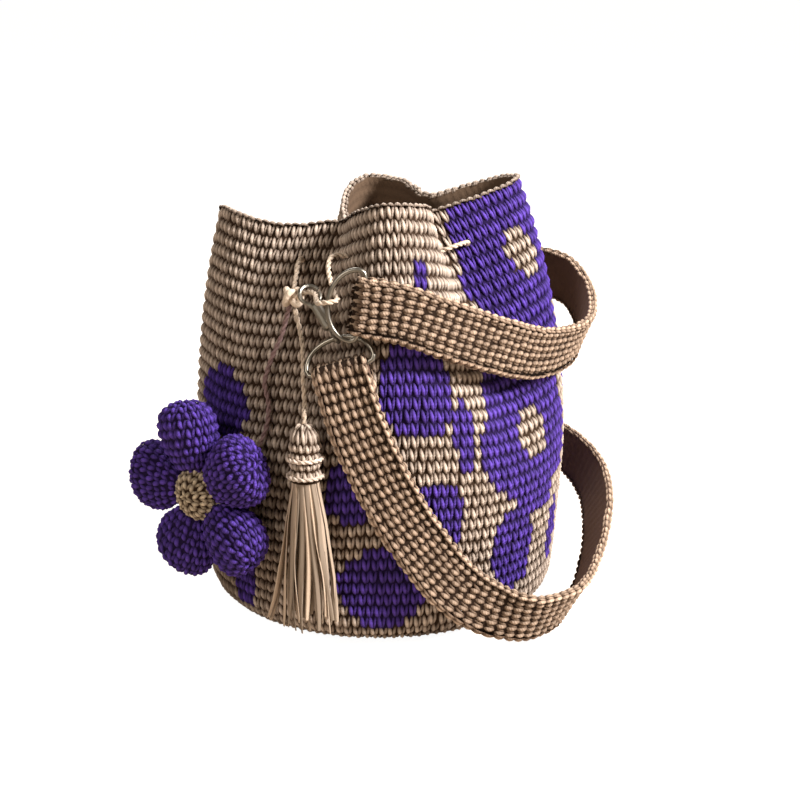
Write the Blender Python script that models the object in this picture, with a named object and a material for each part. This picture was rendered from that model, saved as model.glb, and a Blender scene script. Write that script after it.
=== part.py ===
# Crocheted drawstring bucket bag with a shoulder strap, a flower charm and a tassel.
# Lengths are metres. The bag stands on the XY plane and its drawn front fold faces -Y.
# An angle round the bag is in degrees, from -Y (front) towards +X, and a height on
# the wall is counted in crochet rounds from the edge of the flat base.

import math

import bmesh
import bpy
from mathutils import Matrix, Vector

# Clearance between pieces that touch
GAP = 0.0003

# Bag body: one crocheted shell, a round base and a wall that is drawn into four folds
BAG_HEIGHT = 0.2555
BASE_RADIUS = 0.114
BELLY_RADIUS = 0.120
EDGE_RADIUS = 0.022
WALL = 0.005
RIDGE = 0.0012
EDGE_ROUNDS = 4
WALL_ROUNDS = 32
BELLY_SHARE = 0.45
FOLD_START = 0.30
COLUMNS_PER_FOLD = 4
ROUNDS_PER_INNER_RING = 3

# Mouth: angle, radius, and the power with which the wall eases into that fold or lobe
MOUTH = (
    (12, 0.054, 1.3),
    (45, 0.097, 2.2),
    (90, 0.038, 1.4),
    (135, 0.088, 2.2),
    (180, 0.047, 1.5),
    (225, 0.092, 2.2),
    (270, 0.024, 1.4),
    (315, 0.101, 2.2),
)
# The rim's waves: angle and rise over the bag's height
MOUTH_RISES = (
    (12, -0.0030),
    (45, 0.0150),
    (90, -0.0020),
    (135, 0.0160),
    (180, 0.0000),
    (225, 0.0040),
    (262, -0.0220),
    (297, -0.0240),
    (322, 0.0010),
    (349, -0.0060),
)

# Eyelets for the drawcord: a pair across each inward fold
FOLD_ANGLES = (12, 90, 180, 270)
EYELET_SPREADS = (13, 12, 13, 14)
EYELET_RADIUS = 0.0026
EYELET_ROUNDS_BELOW_RIM = 3
CORD_RADIUS = 0.0016
CORD_STAND_OUT = 0.0035
CORD_LOOP_PLAY = 0.0022
KNOT_SIZE = Vector((0.0075, 0.0065, 0.0070))
KNOT_PLACE = (8.8, 30.6, 0.0240)

# Shoulder strap: a crocheted band, folded round a ring at each end
STRAP_WIDTH = 0.034
STRAP_THICKNESS = 0.0044
STRAP_RIDGES = 6
STRAP_RIDGE = 0.0007
STRAP_STEP = 0.020
STRAP_FLAP = 0.019

# Strap route: angle, rounds, distance off the wall, and how far the face leans upwards
STRAP_ROUTE = (
    (35.4, 29.3, 0.0170, 0.10),
    (46.0, 28.5, 0.0120, 0.10),
    (59.8, 27.4, 0.0155, 0.05),
    (77.3, 26.4, 0.0270, -0.10),
    (99.2, 24.7, 0.0241, -0.30),
    (121.0, 23.6, 0.0167, -0.40),
    (138.6, 25.0, 0.0209, -0.15),
    (152.1, 26.8, 0.0270, 0.00),
    (166.0, 27.6, 0.0265, 0.00),
    (182.0, 26.6, 0.0225, 0.00),
    (197.0, 24.2, 0.0145, 0.00),
    (206.0, 20.4, 0.0105, 0.00),
    (205.0, 16.2, 0.0095, 0.00),
    (194.0, 12.9, 0.0140, 0.00),
    (177.0, 11.2, 0.0215, 0.00),
    (158.4, 10.2, 0.0293, -0.10),
    (144.9, 8.9, 0.0308, -0.35),
    (130.0, 7.3, 0.0280, -0.55),
    (115.7, 5.3, 0.0265, -0.60),
    (102.4, 4.2, 0.0285, -0.60),
    (88.0, 4.0, 0.0355, -0.50),
    (77.0, 4.2, 0.0325, -0.35),
    (70.5, 4.9, 0.0225, -0.20),
    (64.7, 6.0, 0.0150, -0.05),
    (50.3, 11.0, 0.0072, 0.00),
    (39.9, 16.4, 0.0070, 0.02),
    (34.3, 20.4, 0.0095, 0.06),
    (29.6, 24.9, 0.0150, 0.10),
)

# D-rings at the strap's ends
RING_WIRE = 0.0015
RING_HALF_WIDTH = 0.0205
RING_HEIGHT = 0.019
RING_CORNER = 0.0035
RING_ARC_STEPS = 12
BAR_CLEARANCE = 0.0004
UPPER_RING_TILT = -4
LOWER_RING_TILT = -24

# Swivel clasp between the lower ring and the drawcord
EYE_RADIUS = 0.0034
EYE_WIRE = 0.0010
STEM_RADIUS = 0.0013
HEAD_RADIUS = 0.0023
STEM_PLAY = 0.0004
BARREL_RADIUS = 0.0034
BARREL_FOOT = 0.0065
BARREL_TOP = 0.0246
CLAW_RADIUS = 0.0062
CLAW_WIRE = 0.0013
CLAW_HEIGHT = 0.0306
CLAW_PLAY = 0.0011
GATE_WIRE = 0.0010
GATE_PIN_PLACE = (0.0021, 0.0225)
GATE_PIN_RADIUS = 0.0005
GATE_KNUCKLE_RADIUS = 0.0015
GATE_SLOT_HALF = 0.0013
CLASP_AIM = (14.2, 31.4, 0.0260)

# Flower charm: five stuffed petals sewn to a round centre
FLOWER_CENTRE = (349.6, 14.1, 0.0205)
FLOWER_TURN = 1
FLOWER_ROLL = 14
PETALS = 5
PETAL_REACH = 0.0383
PETAL_HALF_LENGTH = 0.0195
PETAL_HALF_WIDTH = 0.0218
PETAL_ROUNDING = 0.80
PETAL_HALF_DEPTH = 0.0150
CENTRE_RADIUS = 0.0184
CENTRE_FRONT = 0.0150
CENTRE_BACK = 0.0090
FLOWER_CORD_ROUTE = (
    (4.0, 29.0, 0.0110),
    (2.1, 27.2, 0.0062),
    (359.7, 24.9, 0.0044),
    (359.6, 23.2, 0.0042),
    (2.1, 21.8, 0.0036),
    (3.2, 20.2, 0.0034),
    (1.0, 17.8, 0.0034),
    (355.0, 15.6, 0.0040),
)

# Tassel: a crocheted cap over a skirt of ribbon strands
TASSEL_TOP = (20.3, 21.4, 0.0200)
TASSEL_FOOT = (21.6, 3.9, 0.0180)
CAP_LENGTH = 0.034
CAP_RADIUS = 0.0105
CAP_STEPS = 14
SKIRT_TOP_RADIUS = 0.0088
SKIRT_FOOT_WIDTH = 0.0185
SKIRT_FOOT_DEPTH = 0.0105
SKIRT_FLUTES = 12
SKIRT_FLUTE_DEPTH = 0.0012
TASSEL_CORD_ROUTE = (
    (11.0, 28.3, 0.0155),
    (15.3, 26.9, 0.0190),
    (17.9, 24.3, 0.0190),
    (19.6, 22.3, 0.0185),
)

# Colours: natural cotton, purple cotton, nickel
NATURAL = (0.55, 0.43, 0.32)
PURPLE = (0.10, 0.04, 0.38)
NICKEL = (0.62, 0.60, 0.56)


def clear_objects():
    for found in list(bpy.data.objects):
        bpy.data.objects.remove(found, do_unlink=True)


def new_collection(name):
    made = bpy.data.collections.new(name)
    bpy.context.scene.collection.children.link(made)
    return made


def new_material(name, colour, roughness, metallic=0.0):
    made = bpy.data.materials.new(name)
    made.use_nodes = True
    shader = made.node_tree.nodes["Principled BSDF"]
    shader.inputs["Base Color"].default_value = (*colour, 1.0)
    shader.inputs["Roughness"].default_value = roughness
    shader.inputs["Metallic"].default_value = metallic
    return made


def new_part(name, mesh, colour, roughness=0.9, metallic=0.0):
    """Object with its own material, in the bag's collection."""
    part = bpy.data.objects.new(name, mesh)
    parts.objects.link(part)
    mesh.materials.clear()
    mesh.materials.append(new_material(name + "_finish", colour, roughness, metallic))
    return part


def mesh_of(bm, name):
    made = bpy.data.meshes.new(name)
    bmesh.ops.recalc_face_normals(bm, faces=bm.faces)
    bm.to_mesh(made)
    bm.free()
    made.shade_smooth()
    made.set_sharp_from_angle(angle=math.radians(50))
    return made


# Curves through hand-chosen points
def smooth_route(points, step):
    """Points about one step apart on a smooth curve through the route's points."""
    spans = [(b - a).length for a, b in zip(points, points[1:])]
    slopes = [(points[1] - points[0]) / spans[0]]
    for i in range(1, len(points) - 1):
        before = (points[i] - points[i - 1]) / spans[i - 1]
        after = (points[i + 1] - points[i]) / spans[i]
        slopes.append((before * spans[i] + after * spans[i - 1]) / (spans[i - 1] + spans[i]))
    slopes.append((points[-1] - points[-2]) / spans[-1])
    route = []
    for i, span in enumerate(spans):
        count = max(1, round(span / step))
        for k in range(count):
            t = k / count
            start = points[i] * (1 + 2 * t) * (1 - t) ** 2 + points[i + 1] * t * t * (3 - 2 * t)
            bend = slopes[i] * t * (1 - t) ** 2 - slopes[i + 1] * t * t * (1 - t)
            route.append(start + bend * span)
    route.append(points[-1].copy())
    return route


def tube_object(name, points, radius, cyclic=False):
    curve = bpy.data.curves.new(name, "CURVE")
    curve.dimensions = "3D"
    curve.bevel_depth = radius
    curve.bevel_resolution = 2
    curve.use_fill_caps = not cyclic
    spline = curve.splines.new("POLY")
    spline.points.add(len(points) - 1)
    for spot, point in zip(spline.points, points):
        spot.co = (*point, 1.0)
    spline.use_cyclic_u = cyclic
    return bpy.data.objects.new(name, curve)


def cord_part(name, points, colour):
    cord = tube_object(name, points, CORD_RADIUS)
    parts.objects.link(cord)
    cord.data.materials.append(new_material(name + "_finish", colour, 0.9))
    return cord


def tube_mesh(name, points, radius, cyclic=False):
    """The tube as a closed mesh, for pieces that are joined or cut."""
    curve = tube_object(name, points, radius, cyclic)
    bpy.context.scene.collection.objects.link(curve)
    evaluated = curve.evaluated_get(bpy.context.evaluated_depsgraph_get())
    mesh = bpy.data.meshes.new_from_object(evaluated)
    bpy.data.objects.remove(curve, do_unlink=True)
    bm = bmesh.new()
    bm.from_mesh(mesh)
    bmesh.ops.remove_doubles(bm, verts=bm.verts, dist=0.00001)
    return mesh_of(bm, name)


def boolean(part, mesh, operation, matrix=None):
    """Joins or cuts a part with a mesh that is kept as a hidden guide."""
    guide = bpy.data.objects.new(part.name + "_guide", mesh)
    guides.objects.link(guide)
    guide.hide_render = True
    guide.display_type = "WIRE"
    guide.matrix_world = matrix if matrix else part.matrix_world.copy()
    change = part.modifiers.new(operation.lower(), "BOOLEAN")
    change.operation = operation
    change.object = guide
    change.solver = "EXACT"


def turned_mesh(name, profile, steps):
    """Closed turned body: the profile runs down the outside and back up the axis side."""
    bm = bmesh.new()
    spots = [bm.verts.new((radius, 0.0, height)) for radius, height in profile]
    edges = [bm.edges.new(pair) for pair in zip(spots, spots[1:])]
    bmesh.ops.spin(
        bm,
        geom=spots + edges,
        cent=(0, 0, 0),
        axis=(0, 0, 1),
        angle=math.tau,
        steps=steps,
        use_merge=True,
    )
    bmesh.ops.remove_doubles(bm, verts=bm.verts, dist=0.00001)
    return mesh_of(bm, name)


def frame_matrix(origin, x_axis, y_axis, z_axis):
    made = Matrix((x_axis, y_axis, z_axis)).transposed().to_4x4()
    made.translation = origin
    return made


# Bag surface
def around(angle, keys, column):
    """Value at an angle, eased between the neighbouring keys of the mouth."""
    for i, key in enumerate(keys):
        following = keys[(i + 1) % len(keys)]
        span = (following[0] - key[0]) % 360
        into = (angle - key[0]) % 360
        if into <= span:
            share = (1 - math.cos(math.pi * into / span)) / 2
            return key[column] + (following[column] - key[column]) * share


def bag_profile(angle, rounds):
    """Radius and height of the wall's outer crests."""
    if rounds <= EDGE_ROUNDS:
        turn = math.pi / 2 * rounds / EDGE_ROUNDS
        radius = BASE_RADIUS - EDGE_RADIUS * (1 - math.sin(turn))
        return radius, EDGE_RADIUS * (1 - math.cos(turn))
    up = (rounds - EDGE_ROUNDS) / WALL_ROUNDS
    rim = BAG_HEIGHT + around(angle, MOUTH_RISES, 1)
    height = EDGE_RADIUS + (rim - EDGE_RADIUS) * up
    swell = math.sin(math.pi / 2 * min(up / BELLY_SHARE, 1))
    body = BASE_RADIUS + (BELLY_RADIUS - BASE_RADIUS) * swell
    fold = max((up - FOLD_START) / (1 - FOLD_START), 0) ** around(angle, MOUTH, 2)
    return body + (around(angle, MOUTH, 1) - body) * fold, height


def off_wall(angle, rounds, distance):
    """Point at a horizontal distance outside the wall's crests."""
    radius, height = bag_profile(angle, rounds)
    turn = math.radians(angle)
    radius += distance
    return Vector((radius * math.sin(turn), -radius * math.cos(turn), height))


def wall_normal(angle, rounds):
    """Outward direction, square to the wall."""
    if rounds <= 0:
        return Vector((0, 0, -1))
    along = off_wall(angle + 0.5, rounds, 0) - off_wall(angle - 0.5, rounds, 0)
    up = off_wall(angle, rounds + 0.05, 0) - off_wall(angle, rounds - 0.05, 0)
    return along.cross(up).normalized()


def in_wall(angle, rounds, depth):
    """Point at a depth under the outer crests, square to the wall."""
    return off_wall(angle, rounds, 0) - wall_normal(angle, rounds) * depth


def column_angles():
    angles = []
    for i, key in enumerate(MOUTH):
        span = (MOUTH[(i + 1) % len(MOUTH)][0] - key[0]) % 360
        angles += [key[0] + span * k / COLUMNS_PER_FOLD for k in range(COLUMNS_PER_FOLD)]
    return angles


def bag_body():
    """Crocheted shell: a ridge for each round outside, a smooth inside and a round rim."""
    rounds = EDGE_ROUNDS + WALL_ROUNDS
    rings = [(0, 0.0)]
    for k in range(rounds):
        rings.append((k + 0.5, 0.0))
        rings.append((k + 1, RIDGE))
    inside = list(range(rounds, 0, -ROUNDS_PER_INNER_RING)) + [1, 0]
    bm = bmesh.new()
    loops = []
    for level, depth in rings:
        loops.append([bm.verts.new(in_wall(a, level, depth)) for a in column_angles()])
    lip = [in_wall(a, rounds, WALL / 2) + Vector((0, 0, RIDGE)) for a in column_angles()]
    loops.append([bm.verts.new(point) for point in lip])
    for level in inside:
        loops.append([bm.verts.new(in_wall(a, level, WALL)) for a in column_angles()])
    count = len(loops[0])
    for low, high in zip(loops, loops[1:]):
        for i in range(count):
            j = (i + 1) % count
            bm.faces.new((low[i], low[j], high[j], high[i]))
    bm.faces.new(loops[0][::-1])
    bm.faces.new(loops[-1])
    body = new_part("bag_body", mesh_of(bm, "bag_body"), NATURAL)
    for fold, spread in zip(FOLD_ANGLES, EYELET_SPREADS):
        for side in (-1, 1):
            cut_eyelet(body, fold + side * spread)
    return body


def eyelet_round():
    return EDGE_ROUNDS + WALL_ROUNDS - EYELET_ROUNDS_BELOW_RIM


def cut_eyelet(body, angle):
    bm = bmesh.new()
    bmesh.ops.create_cone(
        bm,
        cap_ends=True,
        segments=8,
        radius1=EYELET_RADIUS,
        radius2=EYELET_RADIUS,
        depth=WALL * 3,
    )
    out = wall_normal(angle, eyelet_round())
    turn = out.to_track_quat("Z", "X").to_matrix().to_4x4()
    turn.translation = in_wall(angle, eyelet_round(), WALL / 2)
    boolean(body, mesh_of(bm, "eyelet"), "DIFFERENCE", turn)


# Strap and its rings
def strap_middle():
    """Positions, face normals and width directions along the band between its rings."""
    points = []
    for angle, rounds, distance, lean in STRAP_ROUTE:
        place = off_wall(angle, rounds, distance)
        points.append(Vector((*place, lean * STRAP_WIDTH)))
    route = smooth_route(points, STRAP_STEP)
    stations = []
    for i, point in enumerate(route):
        ahead = route[min(i + 1, len(route) - 1)].to_3d()
        behind = route[max(i - 1, 0)].to_3d()
        tangent = (ahead - behind).normalized()
        outward = Vector((point.x, point.y, 0)).normalized()
        outward.z = point.w / STRAP_WIDTH
        normal = (outward - tangent * outward.dot(tangent)).normalized()
        stations.append((point.to_3d(), normal, normal.cross(tangent)))
    return stations


def bar_distance():
    """Distance from a ring's bar to the middle of the band that wraps it."""
    return RING_WIRE + BAR_CLEARANCE + STRAP_THICKNESS / 2


def end_frame(stations, at_start):
    """Bar centre, direction off the strap's end, face normal and width direction."""
    here, normal, width = stations[0] if at_start else stations[-1]
    off_end = width.cross(normal) if at_start else normal.cross(width)
    off_end = -off_end if off_end.dot(here - stations[2 if at_start else -3][0]) < 0 else off_end
    return here - normal * bar_distance(), off_end, normal, width


def end_wrap(stations, at_start):
    """The band's end: round the bar and back under itself, from the band outwards."""
    centre, off_end, normal, width = end_frame(stations, at_start)
    reach = bar_distance()
    under = reach - STRAP_THICKNESS - 2 * GAP
    spots = [(reach * math.sin(a), reach * math.cos(a)) for a in
             (math.radians(30 * k) for k in range(1, 7))]
    spots += [(-reach * 1.5, (under - reach) / 2), (-reach * 2.6, under), (-STRAP_FLAP, under)]
    ahead = 1 if not at_start else -1
    wrap = []
    for i, (along, out) in enumerate(spots):
        place = centre + off_end * along + normal * out
        if i < 6:
            facing = (place - centre).normalized()
        else:
            facing = -normal
        wrap.append((place, facing, width))
    return wrap[::ahead]


def strap():
    stations = strap_middle()
    stations = end_wrap(stations, True) + stations + end_wrap(stations, False)
    half = STRAP_WIDTH / 2
    section = [(-half, -STRAP_THICKNESS / 2 + STRAP_RIDGE)]
    for k in range(2 * STRAP_RIDGES + 1):
        across = -half + STRAP_WIDTH * k / (2 * STRAP_RIDGES)
        dip = 0 if k % 2 else STRAP_RIDGE
        section.append((across, STRAP_THICKNESS / 2 - dip))
    section.append((half, -STRAP_THICKNESS / 2 + STRAP_RIDGE))
    section.append((0, -STRAP_THICKNESS / 2))
    bm = bmesh.new()
    loops = []
    for place, normal, width in stations:
        loops.append([bm.verts.new(place + width * a + normal * b) for a, b in section])
    count = len(section)
    for near, far in zip(loops, loops[1:]):
        for i in range(count):
            j = (i + 1) % count
            bm.faces.new((near[i], near[j], far[j], far[i]))
    bm.faces.new(loops[0][::-1])
    bm.faces.new(loops[-1])
    return new_part("strap", mesh_of(bm, "strap"), NATURAL)


def ring_frame(stations, at_start, tilt):
    """Matrix of a ring: x along its bar, y towards its arc, origin at the bar's middle."""
    centre, off_end, normal, width = end_frame(stations, at_start)
    turn = math.radians(tilt)
    towards = off_end * math.cos(turn) + normal * math.sin(turn)
    return frame_matrix(centre, width, towards, width.cross(towards))


def ring_outline():
    """D-shaped loop: straight bar, small corners and an elliptical bow."""
    edge = RING_HALF_WIDTH
    points = [(-edge + RING_CORNER, 0), (0, 0), (edge - RING_CORNER, 0)]
    points.append((edge - RING_CORNER * 0.3, RING_CORNER * 0.3))
    rise = RING_HEIGHT - RING_CORNER
    for k in range(RING_ARC_STEPS + 1):
        turn = math.pi * k / RING_ARC_STEPS
        points.append((edge * math.cos(turn), RING_CORNER + rise * math.sin(turn)))
    points.append((-edge + RING_CORNER * 0.3, RING_CORNER * 0.3))
    return [Vector((x, y, 0)) for x, y in points]


def strap_ring(name, matrix):
    mesh = tube_mesh(name, ring_outline(), RING_WIRE, cyclic=True)
    ring = new_part(name, mesh, NICKEL, 0.35, 1.0)
    ring.matrix_world = matrix
    return ring


# Drawcord
def knot_centre():
    return off_wall(*KNOT_PLACE)


def knot_surface(towards):
    """Point just clear of the knot, on the side of a cord that leaves towards a place."""
    out = (towards - knot_centre()).normalized()
    stretched = Vector((a / b for a, b in zip(out, KNOT_SIZE)))
    return knot_centre() + out * (1 / stretched.length + GAP)


def ring_strand(upper_frame):
    """The drawcord's way round the upper ring's bow: through the ring and back outside it."""
    reach = RING_WIRE + CORD_RADIUS + CORD_LOOP_PLAY
    points = []
    for k in range(6):
        turn = math.radians(225 - 45 * k)
        spot = Vector((0.003 - 0.001 * k, math.cos(turn) * reach, math.sin(turn) * reach))
        points.append(upper_frame @ (spot + Vector((0, RING_HEIGHT, 0))))
    return points


def drawcord(upper_frame, claw_strand):
    level = eyelet_round()
    outside = (-CORD_STAND_OUT, WALL / 2, WALL + CORD_STAND_OUT)
    points = []
    for fold, spread in list(zip(FOLD_ANGLES, EYELET_SPREADS))[:0:-1]:
        for depth in outside[::-1]:
            points.append(in_wall(fold + spread, level, depth))
        for depth in outside:
            points.append(in_wall(fold - spread, level, depth))
    front = FOLD_ANGLES[0]
    first = [in_wall(front - EYELET_SPREADS[0], level, depth) for depth in outside]
    last = [in_wall(front + EYELET_SPREADS[0], level, depth) for depth in outside[::-1]]
    points = first + points + last + ring_strand(upper_frame) + [claw_strand]
    points = [knot_surface(points[0])] + points + [knot_surface(points[-1])]
    route = smooth_route(points, 0.008)
    return cord_part("drawcord", route, NATURAL)


def drawcord_knot():
    bm = bmesh.new()
    bmesh.ops.create_uvsphere(bm, u_segments=12, v_segments=8, radius=1.0)
    for spot in bm.verts:
        spin = math.atan2(spot.co.y, spot.co.x)
        groove = 1 - 0.08 * abs(math.sin(1.5 * spin + 2.0 * spot.co.z))
        spot.co = Vector((a * b for a, b in zip(spot.co * groove, KNOT_SIZE)))
    knot = new_part("drawcord_knot", mesh_of(bm, "drawcord_knot"), NATURAL)
    knot.location = knot_centre()
    return knot


# Swivel clasp. Its own frame has z from the eye towards the claw and y along the cord
# that the claw holds
def clasp_frames(lower_frame, strand_direction):
    """Frames of the swivel eye and of the hook, and the cord's place in the claw."""
    bow = lower_frame @ Vector((0, RING_HEIGHT, 0))
    aim = (off_wall(*CLASP_AIM) - bow).normalized()
    eye = bow + aim * (EYE_RADIUS - EYE_WIRE - RING_WIRE - GAP)
    bar = lower_frame.col[0].to_3d()
    eye_y = (bar - aim * bar.dot(aim)).normalized()
    hook_y = (strand_direction - aim * strand_direction.dot(aim)).normalized()
    swivel = frame_matrix(eye, eye_y.cross(aim), eye_y, aim)
    hook = frame_matrix(eye, hook_y.cross(aim), hook_y, aim)
    height = CLAW_HEIGHT + CLAW_RADIUS - CLAW_WIRE - CORD_RADIUS - CLAW_PLAY
    return swivel, hook, eye + aim * height


def clasp_swivel(matrix):
    """Eye on the ring's wire, with a stem whose head turns inside the barrel."""
    head = BARREL_FOOT + 0.0020 + STEM_PLAY
    profile = [
        (0, head + 0.0020),
        (HEAD_RADIUS, head + 0.0020),
        (HEAD_RADIUS, head),
        (STEM_RADIUS, head),
        (STEM_RADIUS, EYE_RADIUS),
        (0, EYE_RADIUS),
    ]
    swivel = new_part("clasp_swivel", turned_mesh("clasp_swivel", profile, 10), NICKEL, 0.35, 1.0)
    swivel.matrix_world = matrix
    points = []
    for k in range(14):
        turn = math.tau * k / 14
        points.append(Vector((EYE_RADIUS * math.cos(turn), 0, EYE_RADIUS * math.sin(turn))))
    boolean(swivel, tube_mesh("eye", points, EYE_WIRE, cyclic=True), "UNION")
    return swivel


def claw_point(degrees, height=CLAW_HEIGHT):
    turn = math.radians(degrees)
    return Vector((CLAW_RADIUS * math.cos(turn), 0, height + CLAW_RADIUS * math.sin(turn)))


def pin_mesh(name, radius, length):
    """Round bar across the clasp at the gate's pin."""
    bm = bmesh.new()
    bmesh.ops.create_cone(
        bm, cap_ends=True, segments=10, radius1=radius, radius2=radius, depth=length
    )
    lie = Matrix.Rotation(math.pi / 2, 4, "X")
    lie.translation = Vector((GATE_PIN_PLACE[0], 0, GATE_PIN_PLACE[1]))
    bmesh.ops.transform(bm, matrix=lie, verts=bm.verts)
    return mesh_of(bm, name)


def clasp_hook(matrix):
    """Barrel with a chamber for the swivel's head, a slot for the gate and a claw."""
    chamber_low = BARREL_FOOT + 0.0020
    chamber_top = chamber_low + 0.0032
    bore = STEM_RADIUS + STEM_PLAY
    chamber = HEAD_RADIUS + STEM_PLAY
    profile = [
        (0, BARREL_TOP),
        (BARREL_RADIUS - 0.0010, BARREL_TOP - 0.0003),
        (BARREL_RADIUS, BARREL_TOP - 0.0020),
        (BARREL_RADIUS, BARREL_FOOT + 0.0010),
        (BARREL_RADIUS - 0.0008, BARREL_FOOT),
        (bore, BARREL_FOOT),
        (bore, chamber_low),
        (chamber, chamber_low),
        (chamber, chamber_top),
        (0, chamber_top),
    ]
    hook = new_part("clasp_hook", turned_mesh("clasp_hook", profile, 12), NICKEL, 0.35, 1.0)
    hook.matrix_world = matrix
    claw = [Vector((-BARREL_RADIUS * 0.6, 0, BARREL_TOP - 0.0030))]
    claw += [claw_point(degrees) for degrees in range(232, 9, -20)]
    boolean(hook, tube_mesh("claw", claw, CLAW_WIRE), "UNION")
    bm = bmesh.new()
    bmesh.ops.create_cube(bm, size=1.0)
    knuckle = GATE_KNUCKLE_RADIUS + GAP
    low = GATE_PIN_PLACE[1] - knuckle
    wide = BARREL_RADIUS - GATE_PIN_PLACE[0] + 2 * knuckle
    slot = Matrix.Diagonal((wide, 2 * GATE_SLOT_HALF, 2 * (BARREL_TOP - low), 1))
    slot.translation = Vector((GATE_PIN_PLACE[0] - knuckle + wide / 2, 0, BARREL_TOP))
    bmesh.ops.transform(bm, matrix=slot, verts=bm.verts)
    boolean(hook, mesh_of(bm, "slot"), "DIFFERENCE")
    hole = pin_mesh("pin_hole", GATE_PIN_RADIUS + GAP, BARREL_RADIUS * 3)
    boolean(hook, hole, "DIFFERENCE")
    return hook


def clasp_gate(matrix):
    """Sprung lever that closes the claw, with a knuckle on the pin."""
    width = 2 * (GATE_SLOT_HALF - GAP)
    mesh = pin_mesh("clasp_gate", GATE_KNUCKLE_RADIUS, width)
    mesh.transform(Matrix.Translation((-GATE_PIN_PLACE[0], 0, -GATE_PIN_PLACE[1])))
    gate = new_part("clasp_gate", mesh, NICKEL, 0.35, 1.0)
    pin = Vector((GATE_PIN_PLACE[0], 0, GATE_PIN_PLACE[1]))
    gate.matrix_world = matrix @ Matrix.Translation(pin)
    arm = [pin + Vector((GATE_KNUCKLE_RADIUS * 0.75, 0, GATE_KNUCKLE_RADIUS * 0.5))]
    arm += [claw_point(degrees) for degrees in (-52, -36, -20, -3)]
    boolean(gate, tube_mesh("gate_arm", arm, GATE_WIRE), "UNION", matrix)
    boolean(gate, pin_mesh("gate_bore", GATE_PIN_RADIUS + GAP, width * 2), "DIFFERENCE", matrix)
    return gate


def clasp_gate_pin(matrix):
    length = 2 * BARREL_RADIUS * 0.74
    pin = new_part(
        "clasp_gate_pin", pin_mesh("clasp_gate_pin", GATE_PIN_RADIUS, length), NICKEL, 0.35, 1.0
    )
    pin.matrix_world = matrix
    return pin


# Flower charm
def flower_frame():
    """x across the flower, y into the bag, z up."""
    centre = off_wall(*FLOWER_CENTRE)
    roll = Matrix.Rotation(math.radians(-FLOWER_ROLL), 4, "Y")
    made = Matrix.Rotation(math.radians(FLOWER_TURN), 4, "Z") @ roll
    made.translation = centre
    return made


def petal(number, frame):
    """Stuffed crochet petal, narrower at the centre and pressed flat against its neighbours."""
    wedge = math.tan(math.pi / PETALS)
    bm = bmesh.new()
    bmesh.ops.create_uvsphere(bm, u_segments=12, v_segments=8, radius=1.0)
    for spot in bm.verts:
        girth = math.hypot(spot.co.x, spot.co.y)
        fuller = (1 + 0.10 * spot.co.z) * max(girth, 0.01) ** (PETAL_ROUNDING - 1)
        spot.co.x *= PETAL_HALF_WIDTH * fuller
        spot.co.y *= PETAL_HALF_DEPTH * fuller
        spot.co.z *= PETAL_HALF_LENGTH
        side = (PETAL_REACH + spot.co.z) * wedge - GAP
        spot.co.x = min(max(spot.co.x, -side), side)
    made = new_part("petal_%d" % (number + 1), mesh_of(bm, "petal"), PURPLE)
    turn = Matrix.Rotation(math.tau * number / PETALS, 4, "Y")
    made.matrix_world = frame @ turn @ Matrix.Translation((0, 0, PETAL_REACH))
    return made


def flower_centre(frame):
    bm = bmesh.new()
    bmesh.ops.create_uvsphere(bm, u_segments=14, v_segments=8, radius=1.0)
    for spot in bm.verts:
        depth = CENTRE_FRONT if spot.co.z > 0 else CENTRE_BACK
        spot.co = Vector((
            spot.co.x * CENTRE_RADIUS,
            -spot.co.z * depth,
            spot.co.y * CENTRE_RADIUS,
        ))
    centre = new_part("flower_centre", mesh_of(bm, "flower_centre"), NATURAL)
    centre.matrix_world = frame
    return centre


def flower_cord(frame):
    """From the knot down to the back of the flower's centre."""
    points = [off_wall(*spot) for spot in FLOWER_CORD_ROUTE]
    starts = knot_surface(points[0])
    back = frame @ Vector((0, CENTRE_BACK + CORD_RADIUS + GAP, 0))
    return cord_part("flower_cord", smooth_route([starts] + points + [back], 0.007), PURPLE)


# Tassel
def tassel_frame():
    top = off_wall(*TASSEL_TOP)
    up = (top - off_wall(*TASSEL_FOOT)).normalized()
    across = Vector((top.x, top.y, 0)).cross(up).normalized()
    return frame_matrix(top, across, up.cross(across), up)


def tassel_cap(frame):
    """Crocheted dome with a collar at its foot."""
    r = CAP_RADIUS
    h = CAP_LENGTH
    hollow = (SKIRT_TOP_RADIUS + GAP) / math.cos(math.pi / CAP_STEPS)
    profile = [
        (0, 0),
        (r * 0.45, -h * 0.02),
        (r * 0.80, -h * 0.14),
        (r * 0.96, -h * 0.32),
        (r * 0.90, -h * 0.46),
        (r, -h * 0.56),
        (r * 0.90, -h * 0.68),
        (r, -h * 0.78),
        (r * 0.92, -h * 0.88),
        (r, -h * 0.96),
        (hollow, -h),
        (hollow, -h * 0.80),
        (0, -h * 0.80),
    ]
    cap = new_part("tassel_cap", turned_mesh("tassel_cap", profile, CAP_STEPS), NATURAL)
    cap.matrix_world = frame
    return cap


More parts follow.
